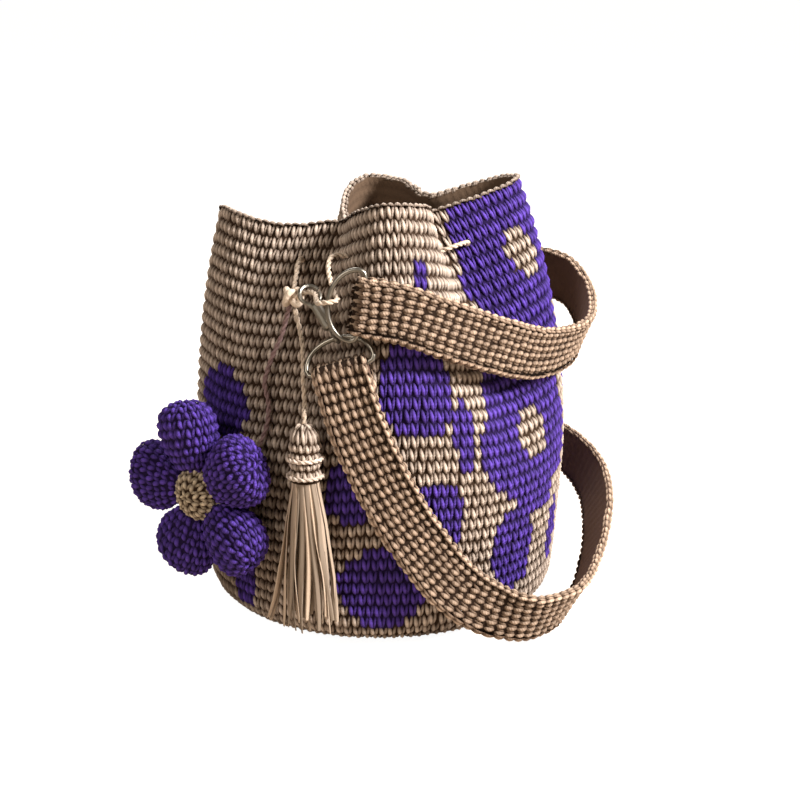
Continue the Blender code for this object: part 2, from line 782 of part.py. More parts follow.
def tassel_skirt(frame):
    """Bundle of ribbon strands, fluted, spreading to a flat oval foot."""
    top = -CAP_LENGTH * 0.80 - GAP
    foot = -(off_wall(*TASSEL_TOP) - off_wall(*TASSEL_FOOT)).length
    levels = ((0, 0), (0.12, 0.03), (0.35, 0.45), (0.7, 0.85), (1, 1))
    count = 2 * SKIRT_FLUTES
    bm = bmesh.new()
    loops = []
    for down, spread in levels:
        wide = SKIRT_TOP_RADIUS + (SKIRT_FOOT_WIDTH - SKIRT_TOP_RADIUS) * spread
        deep = SKIRT_TOP_RADIUS + (SKIRT_FOOT_DEPTH - SKIRT_TOP_RADIUS) * spread
        loop = []
        for k in range(count):
            turn = math.tau * k / count
            dip = SKIRT_FLUTE_DEPTH * (k % 2)
            x = (wide - dip) * math.cos(turn)
            y = (deep - dip) * math.sin(turn)
            loop.append(bm.verts.new((x, y, top + (foot - top) * down)))
        loops.append(loop)
    for high, low in zip(loops, loops[1:]):
        for i in range(count):
            j = (i + 1) % count
            bm.faces.new((low[i], low[j], high[j], high[i]))
    bm.faces.new(loops[0])
    bm.faces.new(loops[-1][::-1])
    skirt = new_part("tassel_skirt", mesh_of(bm, "tassel_skirt"), NATURAL)
    skirt.matrix_world = frame
    return skirt


def tassel_cord(frame):
    points = [off_wall(*spot) for spot in TASSEL_CORD_ROUTE]
    points += [frame @ Vector((0, 0, CAP_LENGTH / 8)), frame @ Vector((0, 0, GAP))]
    starts = knot_surface(points[0])
    return cord_part("tassel_cord", smooth_route([starts] + points, 0.007), NATURAL)


# Assembly
def build():
    bag_body()
    strap()
    stations = strap_middle()
    upper_frame = ring_frame(stations, True, UPPER_RING_TILT)
    lower_frame = ring_frame(stations, False, LOWER_RING_TILT)
    strap_ring("strap_ring_upper", upper_frame)
    strap_ring("strap_ring_lower", lower_frame)
    strand_direction = (knot_centre() - ring_strand(upper_frame)[-1]).normalized()
    swivel_frame, hook_frame, claw_strand = clasp_frames(lower_frame, strand_direction)
    clasp_swivel(swivel_frame)
    clasp_hook(hook_frame)
    clasp_gate(hook_frame)
    clasp_gate_pin(hook_frame)
    drawcord(upper_frame, claw_strand)
    drawcord_knot()
    frame = flower_frame()
    for number in range(PETALS):
        petal(number, frame)
    flower_centre(frame)
    flower_cord(frame)
    frame = tassel_frame()
    tassel_cap(frame)
    tassel_skirt(frame)
    tassel_cord(frame)


clear_objects()
parts = new_collection("crochet_bucket_bag")
guides = new_collection("guides")
build()
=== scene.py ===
# %% [markdown]
# # Crocheted bucket bag with a flower charm and a tassel
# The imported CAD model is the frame: it gives the sizes, the bodies and the joints. This
# script dresses it in yarn. Every stitch is real geometry: two legs in a V, laid on the
# bag's fabric grid. The camera stands where the photograph's did.

import math

import bpy
import numpy as np
from mathutils import Matrix, Vector


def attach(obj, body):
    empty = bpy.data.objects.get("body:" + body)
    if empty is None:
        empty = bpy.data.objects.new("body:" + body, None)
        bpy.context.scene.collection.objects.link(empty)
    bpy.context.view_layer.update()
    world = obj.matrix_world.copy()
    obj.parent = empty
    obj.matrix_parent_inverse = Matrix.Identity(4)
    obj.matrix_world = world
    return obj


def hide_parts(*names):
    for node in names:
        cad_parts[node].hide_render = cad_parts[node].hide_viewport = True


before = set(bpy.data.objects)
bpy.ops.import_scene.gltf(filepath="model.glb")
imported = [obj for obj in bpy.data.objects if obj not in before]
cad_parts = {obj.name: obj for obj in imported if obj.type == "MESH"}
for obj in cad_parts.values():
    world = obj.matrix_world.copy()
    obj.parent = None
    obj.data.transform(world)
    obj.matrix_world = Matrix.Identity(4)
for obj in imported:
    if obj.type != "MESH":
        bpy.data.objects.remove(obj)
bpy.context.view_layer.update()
random = np.random.default_rng(7)

# %% [markdown]
# ## Camera
# The camera looks down at the bag from 40 degrees to the right of its front fold. It could
# be placed by eye, but it was fitted to the photograph, so that both pictures can be laid
# over each other. It comes first.

# %% Camera
AZIMUTH = math.radians(40)
CAMERA_DISTANCE = 1.0
CAMERA_HEIGHT = 0.423
LOOK_HEIGHT = 0.1255
LOOK_RIGHT = 0.0124

to_right = Vector((math.cos(AZIMUTH), math.sin(AZIMUTH), 0))
to_back = Vector((-math.sin(AZIMUTH), math.cos(AZIMUTH), 0))
eye = to_right * LOOK_RIGHT - to_back * CAMERA_DISTANCE + Vector((0, 0, CAMERA_HEIGHT))
target = to_right * LOOK_RIGHT + Vector((0, 0, LOOK_HEIGHT))
camera = bpy.data.objects.new("camera", bpy.data.cameras.new("camera"))
camera.data.lens = 72
camera.data.sensor_width = 36
camera.location = eye
camera.rotation_euler = (target - eye).to_track_quat("-Z", "Y").to_euler()
bpy.context.scene.collection.objects.link(camera)
bpy.context.scene.camera = camera
print("The camera is", CAMERA_DISTANCE, "m away and", CAMERA_HEIGHT, "m high")

# %% [markdown]
# ## The bag's surface
# The wall's crests are one function of the angle round the bag and the height in crochet
# rounds, with the same numbers as the CAD part. Angles run from the front towards +X. The
# bag stands by its own stiffness, so wall, strap and petals are forms worked out in code
# and not by a cloth simulation, and each stitch finds its place by the same formula.

# %% Bag surface
BASE_RADIUS = 0.114
BELLY_RADIUS = 0.120
EDGE_RADIUS = 0.022
WALL = 0.005
EDGE_ROUNDS = 4
WALL_ROUNDS = 32
ROUNDS = EDGE_ROUNDS + WALL_ROUNDS
BELLY_SHARE = 0.45
FOLD_START = 0.30
MOUTH_ANGLES = (12, 45, 90, 135, 180, 225, 270, 315)
MOUTH_RADII = (0.054, 0.097, 0.038, 0.088, 0.047, 0.092, 0.024, 0.101)
MOUTH_POWERS = (1.3, 2.2, 1.4, 2.2, 1.5, 2.2, 1.4, 2.2)
BAG_HEIGHT = 0.2555
RISE_ANGLES = (12, 45, 90, 135, 180, 225, 262, 297, 322, 349)
RISES = (-0.003, 0.015, -0.002, 0.016, 0.0, 0.004, -0.022, -0.024, 0.001, -0.006)


def around(angles, key_angles, values):
    """Values at angles in degrees, eased between neighbouring keys."""
    keys = np.array(key_angles + (key_angles[0] + 360,), float)
    held = np.array(values + (values[0],), float)
    turned = (np.asarray(angles, float) - keys[0]) % 360 + keys[0]
    at = np.clip(np.searchsorted(keys, turned, side="right") - 1, 0, len(keys) - 2)
    share = (turned - keys[at]) / (keys[at + 1] - keys[at])
    share = (1 - np.cos(np.pi * share)) / 2
    return held[at] + (held[at + 1] - held[at]) * share


def crest(angles, rounds):
    """Points on the outer crests, for arrays of angles and rounds."""
    angles, rounds = np.broadcast_arrays(np.asarray(angles, float), np.asarray(rounds, float))
    turn = np.pi / 2 * np.clip(rounds, 0, EDGE_ROUNDS) / EDGE_ROUNDS
    edge_radius = BASE_RADIUS - EDGE_RADIUS * (1 - np.sin(turn))
    edge_height = EDGE_RADIUS * (1 - np.cos(turn))
    up = np.clip((rounds - EDGE_ROUNDS) / WALL_ROUNDS, 0, None)
    top = BAG_HEIGHT + around(angles, RISE_ANGLES, RISES)
    swell = np.sin(np.pi / 2 * np.minimum(up / BELLY_SHARE, 1))
    body = BASE_RADIUS + (BELLY_RADIUS - BASE_RADIUS) * swell
    power = around(angles, MOUTH_ANGLES, MOUTH_POWERS)
    fold = np.maximum((up - FOLD_START) / (1 - FOLD_START), 0) ** power
    wall = body + (around(angles, MOUTH_ANGLES, MOUTH_RADII) - body) * fold
    low = rounds <= EDGE_ROUNDS
    radius = np.where(low, edge_radius, wall)
    height = np.where(low, edge_height, EDGE_RADIUS + (top - EDGE_RADIUS) * up)
    turn = np.radians(angles)
    return np.stack([radius * np.sin(turn), -radius * np.cos(turn), height], -1)


def unit(vectors):
    return vectors / np.maximum(np.linalg.norm(vectors, axis=-1, keepdims=True), 1e-12)


def normals(angles, rounds):
    along = crest(np.asarray(angles) + 0.5, rounds) - crest(np.asarray(angles) - 0.5, rounds)
    low = np.maximum(np.asarray(rounds, float) - 0.05, 0)
    up = crest(angles, low + 0.1) - crest(angles, low)
    return unit(np.cross(along, up))


def under(angles, rounds, depth):
    return crest(angles, rounds) - normals(angles, rounds) * depth


def off_wall(angle, rounds, distance):
    """Point at a horizontal distance outside the crests, as in the CAD part."""
    point = Vector(crest(angle, rounds))
    point.xy += point.xy.normalized() * distance
    return point


print("Front of the rim in mm:", np.round(crest(0, ROUNDS) * 1000, 1))

# %% [markdown]
# The fabric has the same number of stitches in every round of the wall. They are spread by
# the length of the round, not by the angle, so the folds gather no stitches. A table turns a
# share of the round into an angle.

# %% Fabric grid
STITCHES = 138
LEVELS = np.arange(0, ROUNDS + 0.51, 0.5)
SEAM_ANGLE = 12
table_angles = np.linspace(SEAM_ANGLE, SEAM_ANGLE + 360, 1441)
grid = crest(table_angles[None, :], LEVELS[:, None])
steps = np.linalg.norm(np.diff(grid, axis=1), axis=2)
lengths = np.concatenate([np.zeros((len(LEVELS), 1)), np.cumsum(steps, axis=1)], axis=1)
print("Round lengths in mm, base to rim:", np.round(lengths[::12, -1] * 1000))


def fabric_angle(share, level):
    """Angle of a share of the round, at a level that is a multiple of a half."""
    row = lengths[int(round(level * 2))]
    share = np.asarray(share, float)
    angle = np.interp((share % 1) * row[-1], row, table_angles)
    return angle + 360 * np.floor(share)


def fabric_share(angle, level):
    """The other way: the share of the round at an angle."""
    row = lengths[int(round(level * 2))]
    turned = (angle - SEAM_ANGLE) % 360 + SEAM_ANGLE
    return np.interp(turned, table_angles, row) / row[-1]


# %% [markdown]
# ## Free cords
# Two cords hang from the knot: a brown one with the flower and a natural one with the
# tassel. A bevelled curve would be the quick way. Two plies wound round each route show
# the twist in the outline too, and the routes repeat the CAD's points.

# %% Sizes, routes and frames
CORD_RADIUS = 0.0016
PLY_SHARE = 0.56
GAP = 0.0003
KNOT_SIZE = Vector((0.0075, 0.0065, 0.0070))
knot_centre = off_wall(8.8, 30.6, 0.0240)
FLOWER_TURN = math.radians(1)
FLOWER_ROLL = math.radians(14)
CENTRE_BACK = 0.0090
CAP_LENGTH = 0.034
TASSEL_TOP = off_wall(20.3, 21.4, 0.0200)
TASSEL_FOOT = off_wall(21.6, 3.9, 0.0180)


def smooth_route(points, step):
    """Points about one step apart on a smooth curve through the route's points."""
    spans = [(b - a).length for a, b in zip(points, points[1:])]
    slopes = [(points[1] - points[0]) / spans[0]]
    for i in range(1, len(points) - 1):
        before = (points[i] - points[i - 1]) / spans[i - 1]
        after = (points[i + 1] - points[i]) / spans[i]
        slopes.append((before * spans[i] + after * spans[i - 1]) / (spans[i - 1] + spans[i]))
    slopes.append((points[-1] - points[-2]) / spans[-1])
    route = []
    for i, span in enumerate(spans):
        count = max(1, round(span / step))
        for k in range(count):
            t = k / count
            start = points[i] * (1 + 2 * t) * (1 - t) ** 2 + points[i + 1] * t * t * (3 - 2 * t)
            bend = slopes[i] * t * (1 - t) ** 2 - slopes[i + 1] * t * t * (1 - t)
            route.append(start + bend * span)
    route.append(points[-1].copy())
    return route


def carried_frames(path):
    """Unit tangents and two side directions along a path, turned as little as possible."""
    path = np.asarray(path, float)
    ahead = unit(np.gradient(path, axis=0))
    side = np.cross(ahead[0], (0.3, 0.2, 0.9))
    sides = []
    for tangent in ahead:
        side = side - tangent * side.dot(tangent)
        side = side / np.linalg.norm(side)
        sides.append(side)
    sides = np.array(sides)
    return ahead, sides, np.cross(ahead, sides)


# %% Tubes and meshes
def run_along(points):
    """Distance of each point from the first, along the row."""
    return np.concatenate([[0], np.cumsum(np.linalg.norm(np.diff(points, axis=0), axis=1))])


def ring_grid(rings, sides):
    """Quads between rings of points, each ring closed and with so many sides."""
    i, j = np.meshgrid(np.arange(rings - 1), np.arange(sides), indexing="ij")
    right = (j + 1) % sides
    quads = [i * sides + j, i * sides + right, (i + 1) * sides + right, (i + 1) * sides + j]
    return np.stack(quads, -1).reshape(-1, 4)


def swept(path, radius, sides):
    """Points, quads and UVs of a round tube along a path."""
    _, first, second = carried_frames(path)
    turn = np.linspace(0, 2 * np.pi, sides, endpoint=False)
    round_part = first[:, None] * np.cos(turn)[:, None] + second[:, None] * np.sin(turn)[:, None]
    points = (path[:, None] + round_part * radius).reshape(-1, 3)
    along = run_along(path)[:, None] * 100
    uv = np.stack(np.broadcast_arrays(np.arange(sides)[None, :] / sides, along), -1)
    return points, ring_grid(len(path), sides), uv.reshape(-1, 2)


def merged(groups):
    """Joins several (points, quads, more point values) into one."""
    joined = []
    count = 0
    for points, quads, *values in groups:
        joined.append((points, quads + count, *values))
        count += len(points)
    return [np.concatenate(arrays) for arrays in zip(*joined)]


def add_mesh(name, points, quads, uv=None, tone=None, lift=None, purple=None):
    """Mesh object of quads, with point attributes for the yarn material."""
    mesh = bpy.data.meshes.new(name)
    mesh.vertices.add(len(points))
    mesh.vertices.foreach_set("co", np.asarray(points, np.float32).ravel())
    mesh.loops.add(quads.size)
    mesh.loops.foreach_set("vertex_index", quads.ravel().astype(np.int32))
    mesh.polygons.add(len(quads))
    mesh.polygons.foreach_set("loop_start", np.arange(0, quads.size, 4, dtype=np.int32))
    mesh.update(calc_edges=True)
    mesh.validate()
    if uv is not None:
        layer = mesh.uv_layers.new(name="yarn")
        layer.data.foreach_set("uv", uv[quads.ravel()].astype(np.float32).ravel())
    for title, values in (("tone", tone), ("lift", lift), ("purple", purple)):
        if values is not None:
            attribute = mesh.attributes.new(title, "FLOAT", "POINT")
            attribute.data.foreach_set("value", np.asarray(values, np.float32))
    mesh.shade_smooth()
    made = bpy.data.objects.new(name, mesh)
    bpy.context.scene.collection.objects.link(made)
    print(name, "has", 2 * len(quads), "triangles")
    return made


def add_tubes(name, parts):
    """One mesh of tubes or strips, each with its own tone and full lift, so with no painted shade.
    """
    toned = [(*part, np.full(len(part[0]), random.random())) for part in parts]
    points, quads, uv, tone = merged(toned)
    return add_mesh(name, points, quads, uv, tone, np.ones(len(points)))


# %% Twisted cord
def spun(first, second, turn):
    """Side directions at angles round a path, one for each of its points."""
    return first * np.cos(turn)[:, None] + second * np.sin(turn)[:, None]


def twisted_cord(path, radius, turn_length, plies=2):
    """Plies that wind round a path; together they are as thick as the cord."""
    fine = np.array([p[:] for p in smooth_route([Vector(p) for p in path], turn_length / 10)])
    _, first, second = carried_frames(fine)
    along = run_along(fine)
    ply = radius * PLY_SHARE
    parts = []
    for k in range(plies):
        turn = 2 * np.pi * (along / turn_length + k / plies)
        parts.append(swept(fine + spun(first, second, turn) * (radius - ply), ply, 7))
    return parts


def knot_surface(towards):
    out = (towards - knot_centre).normalized()
    stretched = Vector((a / b for a, b in zip(out, KNOT_SIZE)))
    return knot_centre + out * (1 / stretched.length + GAP)


def frame_matrix(origin, x_axis, y_axis, z_axis):
    made = Matrix((x_axis, y_axis, z_axis)).transposed().to_4x4()
    made.translation = origin
    return made


# %% Free cords
flower_frame = Matrix.Rotation(FLOWER_TURN, 4, "Z") @ Matrix.Rotation(-FLOWER_ROLL, 4, "Y")
flower_frame.translation = off_wall(349.6, 14.1, 0.0205)
tassel_up = (TASSEL_TOP - TASSEL_FOOT).normalized()
tassel_across = Vector((TASSEL_TOP.x, TASSEL_TOP.y, 0)).cross(tassel_up).normalized()
tassel_frame = frame_matrix(TASSEL_TOP, tassel_across, tassel_up.cross(tassel_across), tassel_up)

# angle, round and distance outside the crests
FLOWER_SPOTS = (
    (4.0, 29.0, 0.0110),
    (2.1, 27.2, 0.0062),
    (359.7, 24.9, 0.0044),
    (359.6, 23.2, 0.0042),
    (2.1, 21.8, 0.0036),
    (3.2, 20.2, 0.0034),
    (1.0, 17.8, 0.0034),
    (355.0, 15.6, 0.0040),
)
TASSEL_SPOTS = (
    (11.0, 28.3, 0.0155),
    (15.3, 26.9, 0.0190),
    (17.9, 24.3, 0.0190),
    (19.6, 22.3, 0.0185),
)
TASSEL_HEIGHTS = (CAP_LENGTH / 8, GAP, -CAP_LENGTH, -CAP_LENGTH - 0.027, -CAP_LENGTH - 0.054)

flower_route = [off_wall(*spot) for spot in FLOWER_SPOTS]
flower_route.append(flower_frame @ Vector((0, CENTRE_BACK + CORD_RADIUS + GAP, 0)))
flower_route.insert(0, knot_surface(flower_route[0]))
tassel_route = [off_wall(*spot) for spot in TASSEL_SPOTS]
tassel_route += [tassel_frame @ Vector((0, 0, height)) for height in TASSEL_HEIGHTS]
tassel_route.insert(0, knot_surface(tassel_route[0]))


def path_length(path):
    return sum((b - a).length for a, b in zip(path, path[1:]))


def free_cord(name, route, turn_length):
    path = smooth_route(route, 0.007)
    return add_tubes(name, twisted_cord(path, CORD_RADIUS, turn_length)), path


flower_cord, flower_path = free_cord("flower_cord_plies", flower_route, 0.010)
tassel_cord, tassel_path = free_cord("tassel_cord_plies", tassel_route, 0.009)
for title, path in (("flower", flower_path), ("tassel", tassel_path)):
    print("The", title, "cord is", round(path_length(path) * 1000, 1), "mm long")

# %% [markdown]
# ## Materials
# One class wraps a shader socket so that sums on sockets read like sums on numbers. The yarn
# material tints each stitch by its own tone, paints shade on what lies deep between the
# stitches, and draws the twist of the plies as bump along the yarn's own UVs. Pictures of yarn
# could do this as well, but nodes keep the script free of other files.

# %% Shader maths
class Signal:
    """A shader socket that takes part in sums like a number."""

    def __init__(self, tree, socket):
        self.tree = tree
        self.socket = socket

    def maths(self, operation, *values):
        return node(self.tree, "ShaderNodeMath", {"operation": operation}, *values)

    def __add__(self, other):
        return self.maths("ADD", self, other)

    def __mul__(self, other):
        return self.maths("MULTIPLY", self, other)

    def sine(self):
        return self.maths("SINE", self)

    def power(self, other):
        return self.maths("POWER", self, other)


def node(tree, kind, settings, *values, output=0, **named):
    """New shader node: its settings first, then values or signals for its inputs."""
    made = tree.nodes.new(kind)
    for key, value in settings.items():
        setattr(made, key, value)
    pairs = list(zip(made.inputs, values))
    pairs += [(made.inputs[key.replace("_", " ")], value) for key, value in named.items()]
    for socket, value in pairs:
        if isinstance(value, Signal):
            tree.links.new(value.socket, socket)
        else:
            socket.default_value = value
    return Signal(tree, made.outputs[output])


# %% Yarn material
def blank_material(name, roughness, metallic=0.0):
    made = bpy.data.materials.new(name)
    made.use_nodes = True
    shader = made.node_tree.nodes["Principled BSDF"]
    shader.inputs["Roughness"].default_value = roughness
    shader.inputs["Metallic"].default_value = metallic
    shader.inputs["Specular IOR Level"].default_value = 0.5 if metallic else 0.2
    return made, made.node_tree, shader


def mix_colour(tree, factor, low, high):
    made = tree.nodes.new("ShaderNodeMix")
    made.data_type = "RGBA"
    slots = (made.inputs[0], made.inputs[6], made.inputs[7])
    for socket, value in zip(slots, (factor, low, high)):
        if isinstance(value, Signal):
            tree.links.new(value.socket, socket)
        elif isinstance(value, tuple):
            socket.default_value = (*value, 1)
        else:
            socket.default_value = value
    return Signal(tree, made.outputs[2])


def attribute(tree, title):
    return node(tree, "ShaderNodeAttribute", {"attribute_name": title}, output=2)


def add_bump(tree, shader, strength, height):
    bump = node(tree, "ShaderNodeBump", {}, Strength=strength, Distance=0.0006, Height=height)
    tree.links.new(bump.socket, shader.inputs["Normal"])


def times(colour, share):
    return tuple(c * share for c in colour)


def yarn_material(name, colour, deep, dull=0.74, twist=26.0, strength=0.4, roughness=0.7):
    """Twisted cotton yarn: tone by stitch, and painted shade where it dives under its neighbours.
    """
    made, tree, shader = blank_material(name, roughness)
    shade = mix_colour(tree, attribute(tree, "tone"), times(colour, dull), times(colour, 1.12))
    # Painted shade: a low lift pulls the colour towards the deep colour.
    full = mix_colour(tree, attribute(tree, "lift").power(2.0), deep, shade)
    tree.links.new(full.socket, shader.inputs["Base Color"])
    uv = node(tree, "ShaderNodeUVMap", {"uv_map": "yarn"})
    split = tree.nodes.new("ShaderNodeSeparateXYZ")
    tree.links.new(uv.socket, split.inputs[0])
    across = Signal(tree, split.outputs[0])
    along = Signal(tree, split.outputs[1])
    ply = (across * 6.3 + along * twist).sine()
    fuzz = node(tree, "ShaderNodeTexNoise", {}, Scale=1400.0, Detail=3.0)
    add_bump(tree, shader, strength, ply * 0.5 + fuzz * 0.6)
    return made


# %% Yarns
# Each deep colour below is painted shade, for yarn lying low between the stitches.
NATURAL = (0.69, 0.56, 0.46)
NATURAL_PAINTED_SHADE = (0.050, 0.024, 0.010)
PURPLE = (0.122, 0.059, 0.43)
PURPLE_PAINTED_SHADE = (0.012, 0.003, 0.045)
CENTRE_COLOUR = (0.80, 0.65, 0.46)
STRAP_COLOUR = (0.45, 0.325, 0.235)
STRAP_PAINTED_SHADE = (0.045, 0.020, 0.008)
RIBBON = (0.55, 0.42, 0.31)
CORD_COLOUR = (0.66, 0.53, 0.41)
FLOWER_CORD_COLOUR = (0.25, 0.16, 0.15)

natural_yarn = yarn_material("natural_yarn", NATURAL, NATURAL_PAINTED_SHADE)
purple_yarn = yarn_material("purple_yarn", PURPLE, PURPLE_PAINTED_SHADE, 0.62)
centre_yarn = yarn_material("centre_yarn", CENTRE_COLOUR, NATURAL_PAINTED_SHADE)
strap_yarn = yarn_material("strap_yarn", STRAP_COLOUR, STRAP_PAINTED_SHADE)
edging_yarn = yarn_material("edging_yarn", times(STRAP_COLOUR, 1.5), STRAP_PAINTED_SHADE)
cord_yarn = yarn_material("cord_yarn", CORD_COLOUR, NATURAL_PAINTED_SHADE)
purple_cord_yarn = yarn_material("purple_cord_yarn", FLOWER_CORD_COLOUR, NATURAL_PAINTED_SHADE)
ribbon_satin = yarn_material("ribbon_satin", RIBBON, NATURAL_PAINTED_SHADE, 0.38, 2.0, 0.15, 0.42)


# %% Backing and metal
def backing_material(name, natural, purple):
    """What lies behind the stitches: the colour of the yarn over it, darkened to painted shade."""
    made, tree, shader = blank_material(name, 0.95)
    colour = mix_colour(tree, attribute(tree, "purple"), natural, purple)
    tree.links.new(colour.socket, shader.inputs["Base Color"])
    fuzz = node(tree, "ShaderNodeTexNoise", {}, Scale=900.0, Detail=4.0)
    add_bump(tree, shader, 0.4, fuzz)
    return made


# Painted shade: near-black natural and purple, for the yarn seen deep between the stitches.
shade_backing = backing_material("shade_backing", (0.030, 0.015, 0.007), (0.010, 0.003, 0.034))
# Painted shade: the yarn of the bag's inside is darkened to the shade it lies in.
shaded_inside_yarn = backing_material("shaded_inside_yarn", (0.15, 0.095, 0.06), (0.13, 0.08, 0.07))
# Painted shade: the strap's inner face, turned towards the bag, is darkened, and the core's outer
# columns are near black.
strap_shaded_inside = backing_material("strap_shaded_inside", (0.15, 0.09, 0.065), (0.020, 0.010, 0.005))


def metal_material():
    made, tree, shader = blank_material("worn_nickel", 0.38, metallic=1.0)
    patches = node(tree, "ShaderNodeTexNoise", {}, Scale=260.0, Detail=4.0)
    colour = mix_colour(tree, patches, (0.17, 0.15, 0.12), (0.36, 0.33, 0.28))
    tree.links.new(colour.socket, shader.inputs["Base Color"])
    return made


nickel = metal_material()
print("Materials:", [made.name for made in bpy.data.materials])


# %% Dress a piece
NATURAL_SLOT = "natural_cotton"
PURPLE_SLOT = "purple_cotton"


def dress(piece, material, nodes, body="bag"):
    """Gives a piece its material and body, and hides the nodes it stands for."""
    if not piece.data.materials:
        piece.data.materials.append(material)
    if nodes:
        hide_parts(*nodes)
    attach(piece, body)


dress(flower_cord, purple_cord_yarn, ["flower_cord"])
dress(tassel_cord, cord_yarn, ["tassel_cord"])

# %% [markdown]
# ## One stitch
# A stitch is a V of two legs. A leg is an arch of yarn that comes up between its neighbours,
# swells and dives again. The same two legs make every stitch, on the wall, the strap, the
# petals and the tassel's cap: a stitch only needs a corner, a width, a height and an outward
# direction. A bump on a smooth wall would be lighter, but thick crochet has deep gaps that
# show at its outline and in its shadows.

# %% Stitches
LEG_RINGS = 5
LEG_POINTS = 5
LEG_DEPTH = 2.3


def leg_shape(side, yarn, width, height, spread, foot, second):
    """Leg points as shares of width and height and a rise in metres, with UV and lift.

    A leg starts LEG_DEPTH yarns below the crests, and the second leg may be thinner.
    """
    t = np.linspace(0, 1, LEG_RINGS)[:, None]
    turn = np.linspace(math.radians(-15), math.radians(195), LEG_POINTS)[None, :]
    swell = np.sin(np.pi * (0.08 + 0.84 * t))
    depth = yarn * LEG_DEPTH
    yarn = yarn * (1 if side < 0 else second)
    radius = yarn * (0.36 + 0.68 * swell)
    centre_x = side * (foot + spread * t**0.8)
    centre_y = -0.09 + 1.08 * t
    rise = -depth + yarn * (1.25 * swell - 0.12)
    slope = math.atan2(spread * width, height)
    x = centre_x + np.cos(turn) * radius * math.cos(slope) / width
    y = centre_y - side * np.cos(turn) * radius * math.sin(slope) / height
    z = rise + np.sin(turn) * radius
    # lift is 0 deep between the stitches and 1 at the crests; the yarn material paints shade by
    # it.
    lift = np.clip(1.09 * z / depth + 1.09, 0, 1)
    u = np.broadcast_to((turn + 0.26) / 3.7, x.shape)
    v = np.broadcast_to(t, x.shape)
    shape = np.stack(np.broadcast_arrays(x, y, z), -1).reshape(-1, 3)
    return shape, np.stack([u, v], -1).reshape(-1, 2), lift.ravel()


def leg_quads():
    i, j = np.meshgrid(np.arange(LEG_RINGS - 1), np.arange(LEG_POINTS - 1), indexing="ij")
    low = i * LEG_POINTS + j
    return np.stack([low, low + LEG_POINTS, low + LEG_POINTS + 1, low + 1], -1).reshape(-1, 4)


def stitches(corner, across, up, out, yarn, width, height, spread=0.30, foot=0.05, second=0.76):
    """All legs of many stitches at once: arrays of corners, widths, heights, directions."""
    count = len(corner)
    shift = random.normal(0, 0.06, (count, 2))
    corner = corner + across * shift[:, :1] + up * shift[:, 1:] * 0.6
    size = 1 + random.normal(0, 0.12, (count, 1, 1))
    parts, uvs, tones, lifts = [], [], [], []
    tone = random.random(count)
    for side in (-1, 1):
        shape, uv, lift = leg_shape(side, yarn, width, height, spread, foot, second)
        x, y, z = (shape[None, :, k, None] for k in range(3))
        points = corner[:, None] + across[:, None] * x + up[:, None] * y + out[:, None] * z * size
        parts.append(points.reshape(-1, 3))
        uvs.append(np.tile(uv, (count, 1)))
        lifts.append(np.tile(lift, count))
        tones.append(np.repeat(tone, len(shape)))
    starts = np.arange(2 * count) * LEG_RINGS * LEG_POINTS
    quads = (leg_quads()[None] + starts[:, None, None]).reshape(-1, 4)
    uvs, tones, lifts = (np.concatenate(values) for values in (uvs, tones, lifts))
    return [np.concatenate(parts), quads, uvs, tones, lifts]


def stitch_piece(name, groups, material, nodes):
    """One dressed mesh of several batches of stitches."""
    piece = add_mesh(name, *merged(groups))
    dress(piece, material, nodes)
    return piece


# %% [markdown]
# ## Purple fields
# The pattern is worked in the second yarn. It is made of plain forms, listed one by one:
# flowers with five round petals and a natural middle, discs and single petals. An image could
# carry them, but a form that is a sum on the fabric's own grid steps from stitch to stitch.

# %% Pattern
STITCH_WIDTH = 2 * math.pi * BELLY_RADIUS / STITCHES
ROUND_HEIGHT = 0.0074

# angle, round, half width or reach in metres, half height or middle in metres, turn
FLOWERS = (
    (119, 31.0, 0.055, 0.0145, -17),
    (98, 17.7, 0.053, 0.0150, 50),
    (158, 12.5, 0.050, 0.0140, 10),
    (212, 21.5, 0.052, 0.0145, 35),
    (262, 12.0, 0.050, 0.0140, 0),
    (300, 23.0, 0.044, 0.0130, 25),
)
FORMS = (
    (54.5, 31.0, 0.0065, 0.0105),
    (51.5, 22.5, 0.0248, 0.0270),
    (66.5, 18.9, 0.0088, 0.0195),
    (56.5, 12.3, 0.0205, 0.0205),
    (86, 8.3, 0.0200, 0.0290),
    (41, 6.4, 0.0290, 0.0260),
    (33, 15.0, 0.0200, 0.0215),
    (-19, 20.6, 0.0260, 0.0225),
    (-8, 5.2, 0.0110, 0.0180),
    (112, 8.0, 0.0100, 0.0200),
    (132, 21.0, 0.0110, 0.0190),
    (172, 27.0, 0.0180, 0.0180),
    (192, 7.0, 0.0200, 0.0220),
    (240, 29.5, 0.0150, 0.0170),
    (232, 7.5, 0.0120, 0.0230),
    (280, 31.5, 0.0140, 0.0120),
    (318, 9.0, 0.0270, 0.0250),
)


def fabric_offset(share, rounds, angle, level):
    """Distance across and up the fabric from a place on it, in metres."""
    middle = fabric_share(angle, round(level * 2) / 2)
    across = ((share - middle + 0.5) % 1 - 0.5) * STITCHES * STITCH_WIDTH
    return across, (rounds - level) * ROUND_HEIGHT


def is_purple(share, rounds):
    share, rounds = np.broadcast_arrays(share, rounds)
    inked = np.zeros(share.shape, bool)
    for angle, level, half_width, half_height in FORMS:
        x, y = fabric_offset(share, rounds, angle, level)
        inked |= (x / half_width) ** 2 + (y / half_height) ** 2 < 1
    for angle, level, reach, middle, turn in FLOWERS:
        x, y = fabric_offset(share, rounds, angle, level)
        distance = np.hypot(x, y)
        petals = 0.78 + 0.22 * np.abs(np.cos(2.5 * (np.arctan2(y, x) - math.radians(turn)))) ** 0.6
        inked = np.where(distance < reach * petals, True, inked)
        inked = np.where(distance < middle, False, inked)
    return inked


